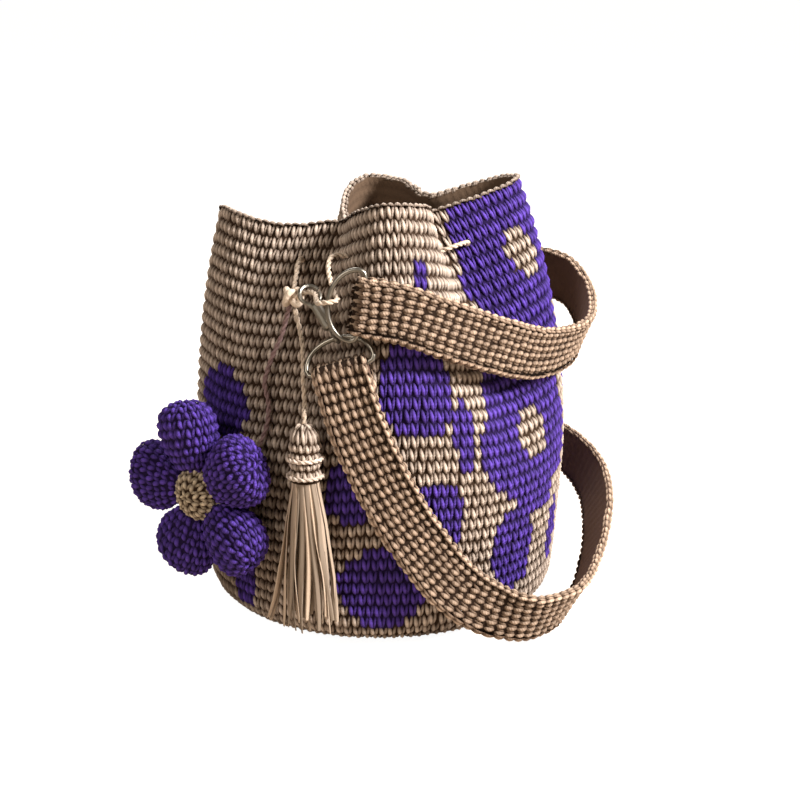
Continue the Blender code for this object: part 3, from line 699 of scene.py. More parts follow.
print("The pattern has", len(FLOWERS), "flowers and", len(FORMS), "plain forms")

# %% [markdown]
# ## Bag body
# The bag is worked in rounds from the centre of its base to its rim. The wall's stitches
# come first, round by round, in one piece for each yarn. The eyelets stay open.

# %% Wall stitches
FOLD_ANGLES = (12, 90, 180, 270)
EYELET_SPREADS = (13, 12, 13, 14)
EYELET_LEVEL = ROUNDS - 3
YARN = 0.00142
DRIFT = 0.16
EYELET_STITCH_GAP = 0.0036
EYELET_SKIN_GAP = 0.0030

eyelets = []
for fold, spread in zip(FOLD_ANGLES, EYELET_SPREADS):
    eyelets += [crest(fold - spread, EYELET_LEVEL), crest(fold + spread, EYELET_LEVEL)]
eyelets = np.array(eyelets)


def far_from_eyelets(points, distance):
    gaps = np.linalg.norm(points[:, None] - eyelets[None], axis=2)
    return gaps.min(axis=1) > distance


lower_groups, upper_groups, purple_groups = [], [], []
for row in range(ROUNDS):
    natural_groups = lower_groups if row < ROUNDS / 2 else upper_groups
    middle = row + 0.5
    length = lengths[int(middle * 2), -1]
    count = STITCHES if row >= EDGE_ROUNDS else int(round(length / STITCH_WIDTH))
    share = (np.arange(count) + DRIFT * row) / count
    low = crest(fabric_angle(share, row), row)
    high = crest(fabric_angle(share, row + 1), row + 1)
    angle = fabric_angle(share, middle)
    across = crest(fabric_angle(share + 0.5 / count, middle), middle)
    across = across - crest(fabric_angle(share - 0.5 / count, middle), middle)
    up = high - low
    out = normals(angle, middle)
    keep = far_from_eyelets((low + high) / 2, EYELET_STITCH_GAP)
    inked = is_purple(share, np.full(count, middle))
    for groups, chosen in ((natural_groups, keep & ~inked), (purple_groups, keep & inked)):
        if chosen.any():
            picked = [values[chosen] for values in (low, across, up, out)]
            groups.append(stitches(*picked, YARN, STITCH_WIDTH, ROUND_HEIGHT))

for group in lower_groups + purple_groups:
    group[0][:, 2] = np.maximum(group[0][:, 2], 0.0)
stitch_piece("wall_natural_lower", lower_groups, natural_yarn, ["bag_body"])
stitch_piece("wall_natural_upper", upper_groups, natural_yarn, ["bag_body"])
stitch_piece("wall_purple", purple_groups, purple_yarn, ["bag_body"])

# %% [markdown]
# The flat base is crocheted in rings that grow by a few stitches a round. A plain disc would
# be enough for a bag that only stands, but this one may be turned over.

# %% Base stitches
FLAT_RADIUS = BASE_RADIUS - EDGE_RADIUS
BASE_ROUNDS = 13
base_groups = []
pitch = FLAT_RADIUS / BASE_ROUNDS
for row in range(BASE_ROUNDS):
    radius = pitch * (row + 0.5)
    count = max(6, int(round(2 * math.pi * radius / STITCH_WIDTH)))
    turn = 2 * np.pi * (np.arange(count) + 0.3 * row) / count
    outward = np.stack([np.sin(turn), -np.cos(turn), np.zeros(count)], -1)
    sideways = np.stack([np.cos(turn), np.sin(turn), np.zeros(count)], -1)
    corner = outward * (pitch * row) + np.array([0, 0, 0.0002])
    down = np.tile([0.0, 0.0, -1.0], (count, 1))
    wide = 2 * math.pi * radius / count
    base_groups.append(
        stitches(corner, -sideways * wide, outward * pitch, down, YARN, STITCH_WIDTH, pitch)
    )
stitch_piece("base_stitches", base_groups, natural_yarn, ["bag_body"])

# %% [markdown]
# A row of chain stitches closes the rim. It lies across the thickness of the wall and hides
# where the outer stitches end and the inside begins.

# %% Rim chain
RIM_YARN = 0.00145
RIM_RISE = 0.0014
RIM_WIDTH = 0.0058
RIM_LENGTH = 0.0062

rim_share = np.arange(STITCHES) / STITCHES
rim_angle = fabric_angle(rim_share, ROUNDS)
rim_next = fabric_angle(rim_share + 1 / STITCHES, ROUNDS)
rim_point = under(rim_angle, ROUNDS, WALL / 2)
rim_step = under(rim_next, ROUNDS, WALL / 2) - rim_point
rim_inward = -normals(rim_angle, ROUNDS)
rim_up = unit(np.cross(rim_step, rim_inward))
rim_up = np.where(rim_up[:, 2:] < 0, -rim_up, rim_up)
rim_corner = rim_point + rim_up * RIM_RISE
rim_cells = (rim_corner, rim_inward * RIM_WIDTH, rim_step * 1.25, rim_up)
rim_group = stitches(*rim_cells, RIM_YARN, RIM_WIDTH, RIM_LENGTH, spread=0.20, foot=0.08)
stitch_piece("rim_chain", [rim_group], natural_yarn, ["bag_body"])


# %% [markdown]
# Between real stitches one sees more yarn in the shade, and the inside shows their reverse
# as bars and grooves. Full stitches there would double the triangles, so one thin skin lies
# under the stitches and another, with ridges, inside. Both skins are coloured far darker than
# the yarn, as painted shade.

# %% Backing and inside
BACKING_DEPTH = 0.0024
GROOVE_DEPTH = 0.0004
BAR_HEIGHT = 0.0006


def shell_piece(name, material, columns, levels, depth_at, outward):
    """A skin of the wall at a depth that may vary, with the eyelets left open."""
    share = np.arange(columns) / columns
    rings, colours = [], []
    for level in levels:
        nearest = round(level * 2) / 2
        angle = fabric_angle(share, nearest)
        rings.append(under(angle, level, depth_at(share, level)[:, None]))
        colours.append(is_purple(share, level))
    floor_rings = []
    for k in (0.0, 0.35, 0.7):
        ring = rings[0] * k
        ring[:, 2] = rings[0][:, 2]
        floor_rings.append(ring)
        colours.insert(0, np.zeros(columns, bool))
    points = np.array(floor_rings + rings).reshape(-1, 3)
    quads = ring_grid(len(floor_rings) + len(rings), columns)
    quads = quads[far_from_eyelets(points[quads].mean(axis=1), EYELET_SKIN_GAP)]
    if not outward:
        quads = quads[:, ::-1]
    piece = add_mesh(name, points, quads, purple=np.array(colours, float).ravel())
    dress(piece, material, ["bag_body"])


def backing_depth(share, level):
    return np.full(len(share), BACKING_DEPTH)


def inside_depth(share, level):
    """Reverse side of the stitches: a bar for each stitch, a groove for each round."""
    bars = np.abs(np.sin(np.pi * STITCHES * share + np.pi * 0.5 * int(level)))
    grooves = np.abs(np.sin(np.pi * level))
    return WALL - GROOVE_DEPTH + BAR_HEIGHT * grooves * (0.45 + 0.55 * bars)


outer_levels = np.arange(0, ROUNDS + 0.01, 0.5)
inner_levels = np.arange(ROUNDS, -0.01, -1 / 4)[::-1]
shell_piece("wall_backing", shade_backing, 240, outer_levels, backing_depth, True)
shell_piece("wall_inside", shaded_inside_yarn, 480, inner_levels, inside_depth, False)

# %% [markdown]
# ## Strap
# A crocheted band with six stitches across, bright chain edging on both edges and a plainer
# inner face, darkened as painted shade. A Curve modifier could bend a flat band, but it would
# stretch the rows in the folded ends. Here the rows are laid at equal steps along the CAD's own
# route.

# %% Strap route
STRAP_WIDTH = 0.034
STRAP_THICKNESS = 0.0044
STRAP_FLAP = 0.019
RING_WIRE = 0.0015
BAR_CLEARANCE = 0.0004
RING_HALF_WIDTH = 0.0205
RING_HEIGHT = 0.019
RING_CORNER = 0.0035
STRAP_ROUTE = (
    (35.4, 29.3, 0.0170, 0.10),
    (46.0, 28.5, 0.0120, 0.10),
    (59.8, 27.4, 0.0155, 0.05),
    (77.3, 26.4, 0.0270, -0.10),
    (99.2, 24.7, 0.0241, -0.30),
    (121.0, 23.6, 0.0167, -0.40),
    (138.6, 25.0, 0.0209, -0.15),
    (152.1, 26.8, 0.0270, 0.00),
    (166.0, 27.6, 0.0265, 0.00),
    (182.0, 26.6, 0.0225, 0.00),
    (197.0, 24.2, 0.0145, 0.00),
    (206.0, 20.4, 0.0105, 0.00),
    (205.0, 16.2, 0.0095, 0.00),
    (194.0, 12.9, 0.0140, 0.00),
    (177.0, 11.2, 0.0215, 0.00),
    (158.4, 10.2, 0.0293, -0.10),
    (144.9, 8.9, 0.0308, -0.35),
    (130.0, 7.3, 0.0280, -0.55),
    (115.7, 5.3, 0.0265, -0.60),
    (102.4, 4.2, 0.0285, -0.60),
    (88.0, 4.0, 0.0355, -0.50),
    (77.0, 4.2, 0.0325, -0.35),
    (70.5, 4.9, 0.0225, -0.20),
    (64.7, 6.0, 0.0150, -0.05),
    (50.3, 11.0, 0.0072, 0.00),
    (39.9, 16.4, 0.0070, 0.02),
    (34.3, 20.4, 0.0095, 0.06),
    (29.6, 24.9, 0.0150, 0.10),
)


def strap_middle(step):
    """Positions, face normals and width directions along the band between its rings."""
    points = []
    for angle, rounds, distance, lean in STRAP_ROUTE:
        points.append(Vector((*off_wall(angle, rounds, distance), lean * STRAP_WIDTH)))
    route = smooth_route(points, step)
    stations = []
    for i, point in enumerate(route):
        ahead = route[min(i + 1, len(route) - 1)].to_3d()
        behind = route[max(i - 1, 0)].to_3d()
        tangent = (ahead - behind).normalized()
        outward = Vector((point.x, point.y, 0)).normalized()
        outward.z = point.w / STRAP_WIDTH
        normal = (outward - tangent * outward.dot(tangent)).normalized()
        stations.append((point.to_3d(), normal, normal.cross(tangent)))
    return stations


def end_frame(stations, at_start):
    here, normal, width = stations[0] if at_start else stations[-1]
    reach = RING_WIRE + BAR_CLEARANCE + STRAP_THICKNESS / 2
    off_end = width.cross(normal) if at_start else normal.cross(width)
    if off_end.dot(here - stations[2 if at_start else -3][0]) < 0:
        off_end = -off_end
    return here - normal * reach, off_end, normal, width, reach


def end_wrap(stations, at_start):
    """The band's end: round the ring's bar and back under itself."""
    centre, off_end, normal, width, reach = end_frame(stations, at_start)
    low = reach - STRAP_THICKNESS - 2 * GAP
    wrap = []
    for k in range(1, 13):
        turn = math.radians(15 * k)
        out = off_end * math.sin(turn) + normal * math.cos(turn)
        wrap.append((centre + out * reach, out, width))
    for along, out in ((-reach * 1.5, (low - reach) / 2), (-reach * 2.6, low), (-STRAP_FLAP, low)):
        wrap.append((centre + off_end * along + normal * out, -normal, width))
    return wrap[::-1] if at_start else wrap


cad_stations = strap_middle(0.020)
fine_stations = strap_middle(0.004)
band = end_wrap(cad_stations, True) + fine_stations + end_wrap(cad_stations, False)
band_tables = [np.array([station[k][:] for station in band]) for k in range(3)]
band_along = run_along(band_tables[0])
print("The strap's band is", round(band_along[-1] * 1000), "mm long")


def band_at(distance):
    """Middle, outward and width directions at distances along the band."""
    found = []
    for table in band_tables:
        found.append(np.stack([np.interp(distance, band_along, axis) for axis in table.T], -1))
    return found[0], unit(found[1]), unit(found[2])


# %% Strap stitches
STRAP_COLUMNS = 6
STRAP_ROW = 0.0062
STRAP_YARN = 0.00152
STITCH_STAND = 0.0006
HALF_FACE = 0.0138
row_count = int(band_along[-1] / STRAP_ROW)
row_start = np.arange(row_count) * STRAP_ROW
column = (np.arange(STRAP_COLUMNS) + 0.5) / STRAP_COLUMNS * 2 - 1
start, across_at = np.meshgrid(row_start, column * HALF_FACE, indexing="ij")
start, across_at = start.ravel(), across_at.ravel()
low_middle, low_out, low_wide = band_at(start)
high_middle, high_out, high_wide = band_at(start + STRAP_ROW)
face = STRAP_THICKNESS / 2 + STITCH_STAND
low_corner = low_middle + low_out * face + low_wide * across_at[:, None]
high_corner = high_middle + high_out * face + high_wide * across_at[:, None]
cell = 2 * HALF_FACE / STRAP_COLUMNS
strap_up = high_corner - low_corner
strap_cells = (low_corner, unit(np.cross(strap_up, low_out)) * cell, strap_up, low_out)
strap_group = stitches(*strap_cells, STRAP_YARN, cell, STRAP_ROW, 0.34, 0.03, 0.68)
stitch_piece("strap_stitches", [strap_group], strap_yarn, ["strap"])

# %% Strap edging
EDGE_STITCH = 0.0058
EDGE_YARN = 0.00118
EDGE_WIDTH = 0.0046
BAR_OPENING = 0.0075

# Tilt to the band's outer face, and reach from its middle, of the two chains on an edge
EDGE_CHAINS = ((0.75, 0.0152), (-0.55, 0.0154))

edge_count = int(band_along[-1] / EDGE_STITCH)
edge_start = np.arange(edge_count) * EDGE_STITCH
bar_gaps = []
for at_start in (True, False):
    bar_centre = np.array(end_frame(cad_stations, at_start)[0])
    bar_gaps.append(np.linalg.norm(band_at(edge_start)[0] - bar_centre, axis=1))
off_bar = np.minimum(*bar_gaps) > BAR_OPENING
edge_groups = []
for side in (-1, 1):
    for tilt, reach in EDGE_CHAINS:
        middle, out, wide = band_at(edge_start)
        ahead_middle, _, ahead_wide = band_at(edge_start + EDGE_STITCH)
        lean = unit(out * tilt + wide * side * 0.8)
        corner = middle + wide * side * reach + out * (0.0010 if tilt > 0 else -0.0010)
        corner += lean * 0.0020
        step = ahead_middle + ahead_wide * side * reach - middle - wide * side * reach
        sideways = unit(np.cross(step, lean)) * EDGE_WIDTH
        keep = off_bar | (tilt > 0)
        picked = [values[keep] for values in (corner, sideways, step * 1.1, lean)]
        edge_groups.append(stitches(*picked, EDGE_YARN, EDGE_WIDTH, EDGE_STITCH, 0.20, 0.08))
stitch_piece("strap_edging", edge_groups, edging_yarn, ["strap"])

# %% Strap core
HALF_CORE = 0.0158
core_start = np.arange(0, band_along[-1], STRAP_ROW / 4)
middle, out, wide = band_at(core_start)
inner_columns = np.linspace(-HALF_CORE, HALF_CORE, 29)
bars = 0.0004 * np.abs(np.sin(np.pi * core_start / STRAP_ROW))[:, None]
bars = bars * (0.5 + 0.5 * np.abs(np.sin(np.pi * (inner_columns / cell + 0.5))))[None, :]
inner = middle[:, None] - out[:, None] * (STRAP_THICKNESS / 2 - 0.0006 + bars)[..., None]
inner = inner + wide[:, None] * inner_columns[None, :, None]
outer_columns = inner_columns[::-4]
outer = middle[:, None] + out[:, None] * 0.0006 + wide[:, None] * outer_columns[None, :, None]
core_points = np.concatenate([inner, outer], axis=1)
core_quads = ring_grid(len(core_points), core_points.shape[1])[:, ::-1]
# Painted shade: the outer columns under the stitches get the near-black second colour through the
# purple attribute.
core_shade_mask = np.tile(np.repeat((0.0, 1.0), (inner.shape[1], outer.shape[1])), len(core_points))
strap_core = add_mesh("strap_core", core_points.reshape(-1, 3), core_quads, purple=core_shade_mask)
dress(strap_core, strap_shaded_inside, ["strap"])

# %% [markdown]
# ## Rings, clasp and drawcord
# A ring is bent wire, so a curve with a round bevel is the plain way to make it, with a finer
# bow than the CAD's. The clasp's CAD pieces stay as they are and get metal.

# %% Rings
UPPER_TILT = -4
LOWER_TILT = -24


def ring_frame(at_start, tilt):
    centre, off_end, normal, width, _ = end_frame(cad_stations, at_start)
    turn = math.radians(tilt)
    towards = off_end * math.cos(turn) + normal * math.sin(turn)
    return frame_matrix(centre, width, towards, width.cross(towards))


def ring_piece(name, matrix, nodes, body):
    edge = RING_HALF_WIDTH
    points = [(-edge + RING_CORNER, 0), (0, 0), (edge - RING_CORNER, 0)]
    points.append((edge - RING_CORNER * 0.3, RING_CORNER * 0.3))
    for k in range(37):
        turn = math.pi * k / 36
        rise = (RING_HEIGHT - RING_CORNER) * math.sin(turn)
        points.append((edge * math.cos(turn), RING_CORNER + rise))
    points.append((-edge + RING_CORNER * 0.3, RING_CORNER * 0.3))
    curve = bpy.data.curves.new(name, "CURVE")
    curve.dimensions = "3D"
    curve.bevel_depth = RING_WIRE
    curve.bevel_resolution = 4
    spline = curve.splines.new("POLY")
    spline.points.add(len(points) - 1)
    for spot, (x, y) in zip(spline.points, points):
        spot.co = (*(matrix @ Vector((x, y, 0))), 1)
    spline.use_cyclic_u = True
    ring = bpy.data.objects.new(name, curve)
    bpy.context.scene.collection.objects.link(ring)
    dress(ring, nickel, nodes, body)
    print(name, "is bent through", len(points), "points")


upper_frame = ring_frame(True, UPPER_TILT)
lower_frame = ring_frame(False, LOWER_TILT)
ring_piece("upper_ring_wire", upper_frame, ["strap_ring_upper"], "upper_ring")
ring_piece("lower_ring_wire", lower_frame, ["strap_ring_lower"], "lower_ring")
for title in ("clasp_swivel", "clasp_hook", "clasp_gate", "clasp_gate_pin"):
    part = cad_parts[title]
    for slot in part.material_slots:
        slot.material = nickel

# %% [markdown]
# The drawcord runs through the eyelets, round the upper ring's bow and into the knot. Its
# route goes through the middle of each eyelet, and the knot is a closed trefoil: a real
# knot's path would need a simulation and look the same from outside.

# %% Drawcord
CORD_STAND_OUT = 0.0035
CORD_LOOP_PLAY = 0.0022
CLAW_PLAY = 0.0011
EYE_RADIUS = 0.0034
EYE_WIRE = 0.0010
CLAW_HEIGHT = 0.0306
CLAW_RADIUS = 0.0062
CLAW_WIRE = 0.0013


def through_eyelet(angle, depths):
    return [Vector(under(angle, EYELET_LEVEL, depth)) for depth in depths]


def claw_strand():
    """The cord's place in the claw, by the same steps as in the CAD part."""
    bow = lower_frame @ Vector((0, RING_HEIGHT, 0))
    aim = (off_wall(14.2, 31.4, 0.0260) - bow).normalized()
    start = bow + aim * (EYE_RADIUS - EYE_WIRE - RING_WIRE - GAP)
    return start + aim * (CLAW_HEIGHT + CLAW_RADIUS - CLAW_WIRE - CORD_RADIUS - CLAW_PLAY)


inward = (-CORD_STAND_OUT, WALL / 2, WALL + CORD_STAND_OUT)
outward = inward[::-1]
cord_points = through_eyelet(FOLD_ANGLES[0] - EYELET_SPREADS[0], inward)
for fold, spread in list(zip(FOLD_ANGLES, EYELET_SPREADS))[:0:-1]:
    cord_points += through_eyelet(fold + spread, outward)
    cord_points += through_eyelet(fold - spread, inward)
cord_points += through_eyelet(FOLD_ANGLES[0] + EYELET_SPREADS[0], outward)
loop = RING_WIRE + CORD_RADIUS + CORD_LOOP_PLAY
for k in range(6):
    turn = math.radians(225 - 45 * k)
    spot = Vector((0.003 - 0.001 * k, RING_HEIGHT + math.cos(turn) * loop, math.sin(turn) * loop))
    cord_points.append(upper_frame @ spot)
cord_points.append(claw_strand())
cord_points = [knot_surface(cord_points[0])] + cord_points + [knot_surface(cord_points[-1])]
drawcord_parts = twisted_cord(smooth_route(cord_points, 0.008), CORD_RADIUS, 0.0085)
drawcord = add_tubes("drawcord_plies", drawcord_parts)
dress(drawcord, cord_yarn, ["drawcord"])

# %% Knot
KNOT_STRAND = 0.0021
turn = np.linspace(0, 2 * np.pi, 73)
trefoil_x = np.sin(turn) + 2 * np.sin(2 * turn)
trefoil_y = np.cos(turn) - 2 * np.cos(2 * turn)
knot_path = np.stack([trefoil_x, trefoil_y, -np.sin(3 * turn) * 1.6], -1)
knot_path = knot_path / 3.0 * (np.array(KNOT_SIZE[:]) - 0.0019) * np.array([1, 1, 1.4])
knot_path = knot_path + np.array(knot_centre[:])
knot = add_tubes("knot_turns", [swept(knot_path, KNOT_STRAND, 9)])
dress(knot, cord_yarn, ["drawcord_knot"])

# %% [markdown]
# ## Flower charm
# Five stuffed petals and a raised centre, each crocheted in rounds from its tip. Cloth with
# pressure could swell them, but its remesh would erase the stitches. So a rounded form,
# flat where neighbours press together, gives the stitches their places, and a plain body
# inside stands for the stuffing, dark with painted shade.

# %% Flower
PETALS = 5
PETAL_REACH = 0.0383
PETAL_HALF_LENGTH = 0.0195
PETAL_HALF_WIDTH = 0.0230
PETAL_ROUNDING = 0.80
PETAL_HALF_DEPTH = 0.0150
CENTRE_RADIUS = 0.0184
CENTRE_FRONT = 0.0150
PETAL_YARN = 0.00145
PETAL_STITCH = 0.0060
CENTRE_YARN = 0.00138
CENTRE_STITCH = 0.0054
FILLING_RINGS = 20
FILLING_SIDES = 32


def petal_surface(turn, lean):
    """Point of a petal: turn round its axis, lean from its inner end to its tip."""
    inner = np.where(np.cos(lean) > 0, 1.5, 1.0)
    z = -PETAL_HALF_LENGTH * inner * np.cos(lean)
    fuller = (1 - 0.10 * np.cos(lean)) * np.maximum(np.sin(lean), 0.01) ** PETAL_ROUNDING
    side = (PETAL_REACH + z) * math.tan(math.pi / PETALS) - GAP
    x = np.clip(PETAL_HALF_WIDTH * fuller * np.cos(turn), -side, side)
    y = PETAL_HALF_DEPTH * fuller * np.sin(turn)
    return np.stack(np.broadcast_arrays(x, y, z), -1)


def centre_surface(turn, lean):
    """Point of the flower's centre; lean runs from its back to its front."""
    depth = np.where(np.cos(lean) > 0, CENTRE_BACK, CENTRE_FRONT)
    x = CENTRE_RADIUS * np.sin(lean) * np.cos(turn)
    z = CENTRE_RADIUS * np.sin(lean) * np.sin(turn)
    return np.stack(np.broadcast_arrays(x, depth * np.cos(lean), z), -1)


def placed(points, matrix):
    """Points of a piece's own frame, moved to where that frame stands."""
    return points @ np.array(matrix.to_3x3()).T + np.array(matrix.translation[:])


def round_cells(surface, count, shift, low_at, middle_at, high_at):
    """Angles, corners, widths, heights and directions of one round of stitches."""
    turn = 2 * np.pi * (np.arange(count) + shift) / count
    low = surface(turn, low_at)
    up = surface(turn, high_at) - low
    step = np.pi / count
    across = surface(turn + step, middle_at) - surface(turn - step, middle_at)
    return turn, low, across, up, unit(np.cross(across, up))


def ball_piece(title, surface, matrix, material, yarn, size, slot, purple):
    """Stitches in rounds over a ball, and the filling under them."""
    lean_fine = np.linspace(0, np.pi, 200)
    run = run_along(surface(0.0, lean_fine))
    rows = int(round(run[-1] / size))
    groups = []
    for row in range(rows):
        bounds = np.interp(np.array([row, row + 0.5, row + 1.0]) / rows * run[-1], run, lean_fine)
        ring = surface(np.linspace(0, 2 * np.pi, 61), bounds[1])
        girth = np.linalg.norm(np.diff(ring, axis=0), axis=1).sum()
        count = max(5, int(round(girth / size)))
        turn, low, across, up, out = round_cells(surface, count, 0.2 * row, *bounds)
        flip = np.sign((out * surface(turn, bounds[1])).sum(axis=1))[:, None]
        group = stitches(low, across * flip, up, out * flip, yarn, size, size)
        group[0] = placed(group[0], matrix)
        groups.append(group)
    piece = stitch_piece(title + "_stitches", groups, material, [title])
    turn = np.linspace(0, 2 * np.pi, FILLING_SIDES + 1)[:-1]
    lean = np.linspace(0.01, np.pi - 0.01, FILLING_RINGS)
    turn, lean = (values.ravel() for values in np.meshgrid(turn, lean))
    points = surface(turn, lean)
    shrink = 1 - 1.6 * yarn / np.linalg.norm(points, axis=1, keepdims=True)
    points = placed(points * shrink, matrix)
    quads = ring_grid(FILLING_RINGS, FILLING_SIDES)
    filling = add_mesh(title + "_filling", points, quads, purple=np.full(len(points), purple))
    # The filling takes the painted-shade colour that shows between the stitches.
    dress(filling, shade_backing, [title])
    return [piece, filling]


charm_pieces = []
for number in range(PETALS):
    spin = Matrix.Rotation(math.tau * number / PETALS, 4, "Y")
    matrix = flower_frame @ spin @ Matrix.Translation((0, 0, PETAL_REACH))
    looks = (purple_yarn, PETAL_YARN, PETAL_STITCH, PURPLE_SLOT, 1.0)
    charm_pieces += ball_piece("petal_%d" % (number + 1), petal_surface, matrix, *looks)
looks = (centre_yarn, CENTRE_YARN, CENTRE_STITCH, NATURAL_SLOT, 0.0)
charm_pieces += ball_piece("flower_centre", centre_surface, flower_frame, *looks)

# %% [markdown]
# ## Tassel
# The cap is crocheted round the top of a bundle of flat ribbon strands. The strands spread
# to a flat oval foot, and a few at its right side curl away. Hair would be quick to comb,
# but only mesh goes into an exported model, so each strand is a thin strip.

# %% Tassel cap
CAP_RADIUS = 0.0105
CAP_PROFILE = (
    (0.0, 0.0),
    (0.45, 0.02),
    (0.80, 0.14),
    (0.96, 0.32),
    (0.93, 0.50),
    (0.93, 0.70),
    (0.93, 0.88),
    (0.96, 1.0),
)
profile_radius = np.array([row[0] for row in CAP_PROFILE]) * CAP_RADIUS
profile_drop = np.array([row[1] for row in CAP_PROFILE]) * CAP_LENGTH
profile_run = run_along(np.stack([profile_radius, profile_drop], -1))


def cap_surface(turn, run):
    radius = np.interp(run, profile_run, profile_radius)
    drop = np.interp(run, profile_run, profile_drop)
    return np.stack(np.broadcast_arrays(radius * np.cos(turn), radius * np.sin(turn), -drop), -1)


CAP_EDGES = (0.0, 0.20, 0.46, 0.60, 0.73, 0.86, 1.0)
CAP_STITCHES = 14
CAP_YARN = 0.00125
CAP_CELL = (0.0044, 0.0056)
COLLAR_DROPS = (0.66, 0.97)
COLLAR_PLY = 0.0008
cap_groups = []
for row, (top_edge, foot_edge) in enumerate(zip(CAP_EDGES, CAP_EDGES[1:])):
    edges = np.array([top_edge, (top_edge + foot_edge) / 2, foot_edge]) * profile_run[-1]
    count = CAP_STITCHES if row else 7
    bounds = (edges[2], edges[1], max(edges[0], 0.001))
    cells = round_cells(cap_surface, count, 0.5 * row, *bounds)[1:]
    group = stitches(*cells, CAP_YARN, *CAP_CELL)
    group[0] = placed(group[0], tassel_frame)
    cap_groups.append(group)
tassel_cap = stitch_piece("tassel_cap_stitches", cap_groups, natural_yarn, ["tassel_cap"])

collars = []
for drop in COLLAR_DROPS:
    turn = np.linspace(0, 2 * np.pi, 41)
    circle = np.stack([np.cos(turn), np.sin(turn)], -1) * CAP_RADIUS * 0.97
    ring = np.column_stack([circle, np.full_like(turn, -drop * CAP_LENGTH)])
    ring = placed(ring, tassel_frame)
    _, first, second = carried_frames(ring)
    for k in range(2):
        coil = ring + spun(first, second, turn * 9 + np.pi * k) * 0.0007
        collars.append(swept(coil, COLLAR_PLY, 7))
cap_collars = add_tubes("tassel_cap_collars", collars)
dress(cap_collars, natural_yarn, ["tassel_cap"])

core_run = np.linspace(0.0005, profile_run[-1], 16)
core_turn = np.linspace(0, 2 * np.pi, 25)[:-1]
core_points = cap_surface(core_turn[None, :], core_run[:, None])
core_points[..., :2] *= 0.84
core_points[..., 2] -= 0.0024
core_points = placed(core_points.reshape(-1, 3), tassel_frame)
core_quads = ring_grid(len(core_run), len(core_turn))[:, ::-1]
cap_core = add_mesh("tassel_cap_core", core_points, core_quads, purple=np.zeros(len(core_points)))
# The core takes the painted-shade colour that shows between the cap's stitches.
dress(cap_core, shade_backing, ["tassel_cap"])

# %% Tassel strands
STRANDS = 44
OUTER_STRANDS = 27
SKIRT_TOP_RADIUS = 0.0088
SKIRT_FOOT_WIDTH = 0.0212
SKIRT_FOOT_DEPTH = 0.0105
SKIRT_FLARE = 0.0080
RIBBON_HALF_WIDTHS = (0.0015, 0.0023)
RIBBON_HALF_THICK = 0.00034
skirt_top = -CAP_LENGTH * 0.80
skirt_length = (TASSEL_TOP - TASSEL_FOOT).length


def ribbon(path, facing, half_width, half_thick):
    """Flat strip with a thin oval section along a path, twisting with its facing angle."""
    ahead, first, second = carried_frames(path)
    wide = spun(first, second, facing)
    thin = np.cross(ahead, wide)
    turn = np.linspace(0, 2 * np.pi, 7)[:-1]
    ends = np.sin(np.pi * np.linspace(0.06, 0.97, len(path))) ** 0.25
    section = wide[:, None] * (np.cos(turn) * half_width)[None, :, None] * ends[:, None, None]
    section = section + thin[:, None] * (np.sin(turn) * half_thick)[None, :, None]
    points = (path[:, None] + section).reshape(-1, 3)
    along = np.linspace(0, 8, len(path))[:, None]
    uv = np.stack(np.broadcast_arrays(np.arange(6)[None, :] / 6, along), -1)
    return points, ring_grid(len(path), 6), uv.reshape(-1, 2)


strand_parts = []
for k in range(STRANDS):
    outer = k < OUTER_STRANDS
    shell = random.uniform(0.92, 1.0) if outer else 0.60
    share = k / OUTER_STRANDS if outer else (k - OUTER_STRANDS) / (STRANDS - OUTER_STRANDS)
    turn = 2 * math.pi * share + random.normal(0, 0.07)
    down = np.linspace(0, 1, 18)
    spread = np.interp(down, (0, 0.12, 0.35, 0.7, 1), (0, 0.03, 0.45, 0.85, 1))
    spread = spread * random.uniform(0.80, 1.0)
    wide = (SKIRT_TOP_RADIUS + (SKIRT_FOOT_WIDTH - SKIRT_TOP_RADIUS) * spread - 0.0010) * shell
    deep = (SKIRT_TOP_RADIUS + (SKIRT_FOOT_DEPTH - SKIRT_TOP_RADIUS) * spread - 0.0010) * shell
    sway = np.sin(down * random.uniform(3, 6) + random.uniform(0, 6))
    swing = turn + 0.16 * sway * down
    length = (skirt_length + skirt_top) * random.uniform(0.88, 1.0)
    z = skirt_top - down * length
    path = np.stack([wide * np.cos(swing), deep * np.sin(swing), z], -1)
    if outer and math.cos(turn) > 0.9:
        path[:, 0] += SKIRT_FLARE * down**4
    path = placed(path, tassel_frame)
    _, first, second = carried_frames(path)
    radial = path - placed(np.stack([0 * z, 0 * z, z], -1), tassel_frame)
    facing = np.arctan2((radial * second).sum(1), (radial * first).sum(1)) + np.pi / 2
    twist = random.normal(0, 0.5) * down + random.uniform(0.2, 0.7) * np.sin(down * 6 + 2 * k)
    facing = np.unwrap(facing) + twist * down
    half_width = random.uniform(*RIBBON_HALF_WIDTHS)
    strand_parts.append(ribbon(path, facing, half_width, RIBBON_HALF_THICK))
strands = add_tubes("tassel_strands", strand_parts)
dress(strands, ribbon_satin, ["tassel_skirt"])

# %% [markdown]
# ## Free cords and their loads
# Each free cord's name is printed with the number of pieces that hang on it.

for cord, path, hung in (
    (flower_cord, flower_path, charm_pieces),
    (tassel_cord, tassel_path, [tassel_cap, cap_collars, cap_core, strands]),
):
    path_length(path)
    print(cord.name, "carries", len(hung), "pieces")

# %% [markdown]
# ## Floor and light
# The camera sees the floor and the world as white, but they send only a weak, warm light,
# so the gaps between the stitches stay dark. A soft key light stands at the upper right,
# and two weaker lights stand at the left and behind.

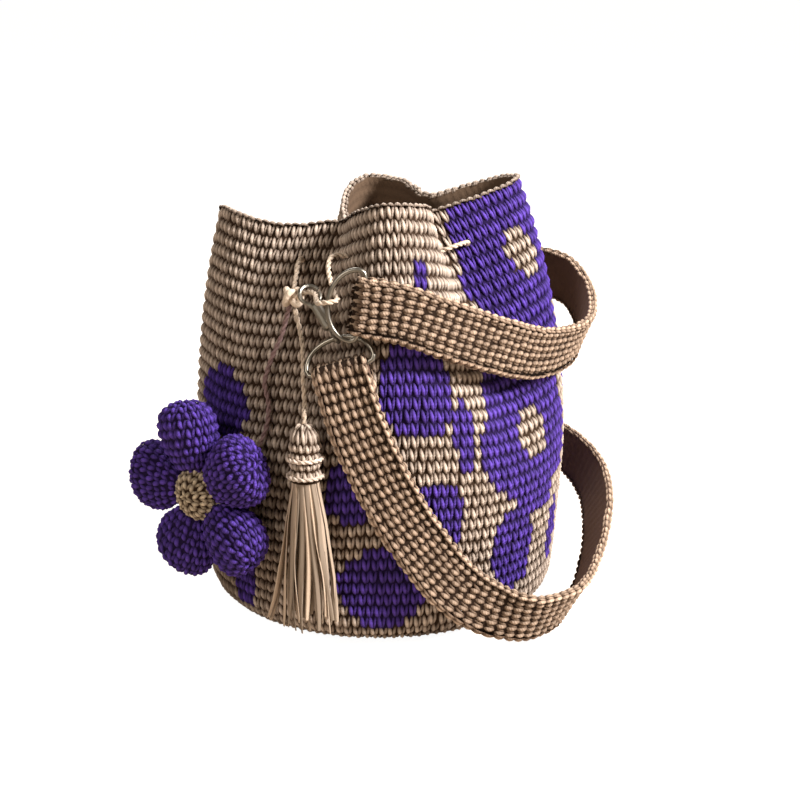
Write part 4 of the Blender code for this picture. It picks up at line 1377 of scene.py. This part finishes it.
# %% Floor and light
WHITE = (1.0, 1.0, 1.0)
SURROUND_COLOUR = (1.0, 0.84, 0.66)
SURROUND_STRENGTH = 0.13
FLOOR_GLOW = 0.96

bpy.ops.mesh.primitive_plane_add(size=30, location=(0, 0, -0.0004))
floor = bpy.context.object
floor.name = "floor"
floor_material, tree, shader = blank_material("floor", 0.9)
shader.inputs["Base Color"].default_value = (0.50, 0.42, 0.34, 1)
seen = node(tree, "ShaderNodeLightPath", {}, output=0)
glow = mix_colour(tree, seen, (0.0, 0.0, 0.0), WHITE)
tree.links.new(glow.socket, shader.inputs["Emission Color"])
shader.inputs["Emission Strength"].default_value = FLOOR_GLOW
floor.data.materials.append(floor_material)

world = bpy.data.worlds.new("studio")
bpy.context.scene.world = world
world.use_nodes = True
tree = world.node_tree
tree.nodes.clear()
seen = node(tree, "ShaderNodeLightPath", {}, output=0)
strength = seen * (1.0 - SURROUND_STRENGTH) + SURROUND_STRENGTH
background = tree.nodes.new("ShaderNodeBackground")
glow = mix_colour(tree, seen, SURROUND_COLOUR, WHITE)
tree.links.new(glow.socket, background.inputs["Color"])
tree.links.new(strength.socket, background.inputs["Strength"])
ending = tree.nodes.new("ShaderNodeOutputWorld")
tree.links.new(background.outputs[0], ending.inputs[0])


def add_light(name, right, back, height, size, power, colour=(1, 1, 1)):
    """Area light placed by its distances from the bag in the camera's directions."""
    light = bpy.data.objects.new(name, bpy.data.lights.new(name, "AREA"))
    light.data.size = size
    light.data.energy = power
    light.data.color = colour
    light.location = to_right * right + to_back * back + Vector((0, 0, height))
    towards = Vector((0, 0, 0.13)) - light.location
    light.rotation_euler = towards.to_track_quat("-Z", "Y").to_euler()
    bpy.context.scene.collection.objects.link(light)
    print("Light", name, "has", power, "W")


add_light("key", 1.1, -0.65, 1.05, 0.35, 60, (1.0, 0.98, 0.97))
add_light("fill", -0.9, -1.1, 1.1, 0.6, 10, (1.0, 0.93, 0.85))
add_light("back", -0.3, 1.2, 1.2, 0.6, 11)
bpy.context.scene.view_settings.view_transform = "Standard"
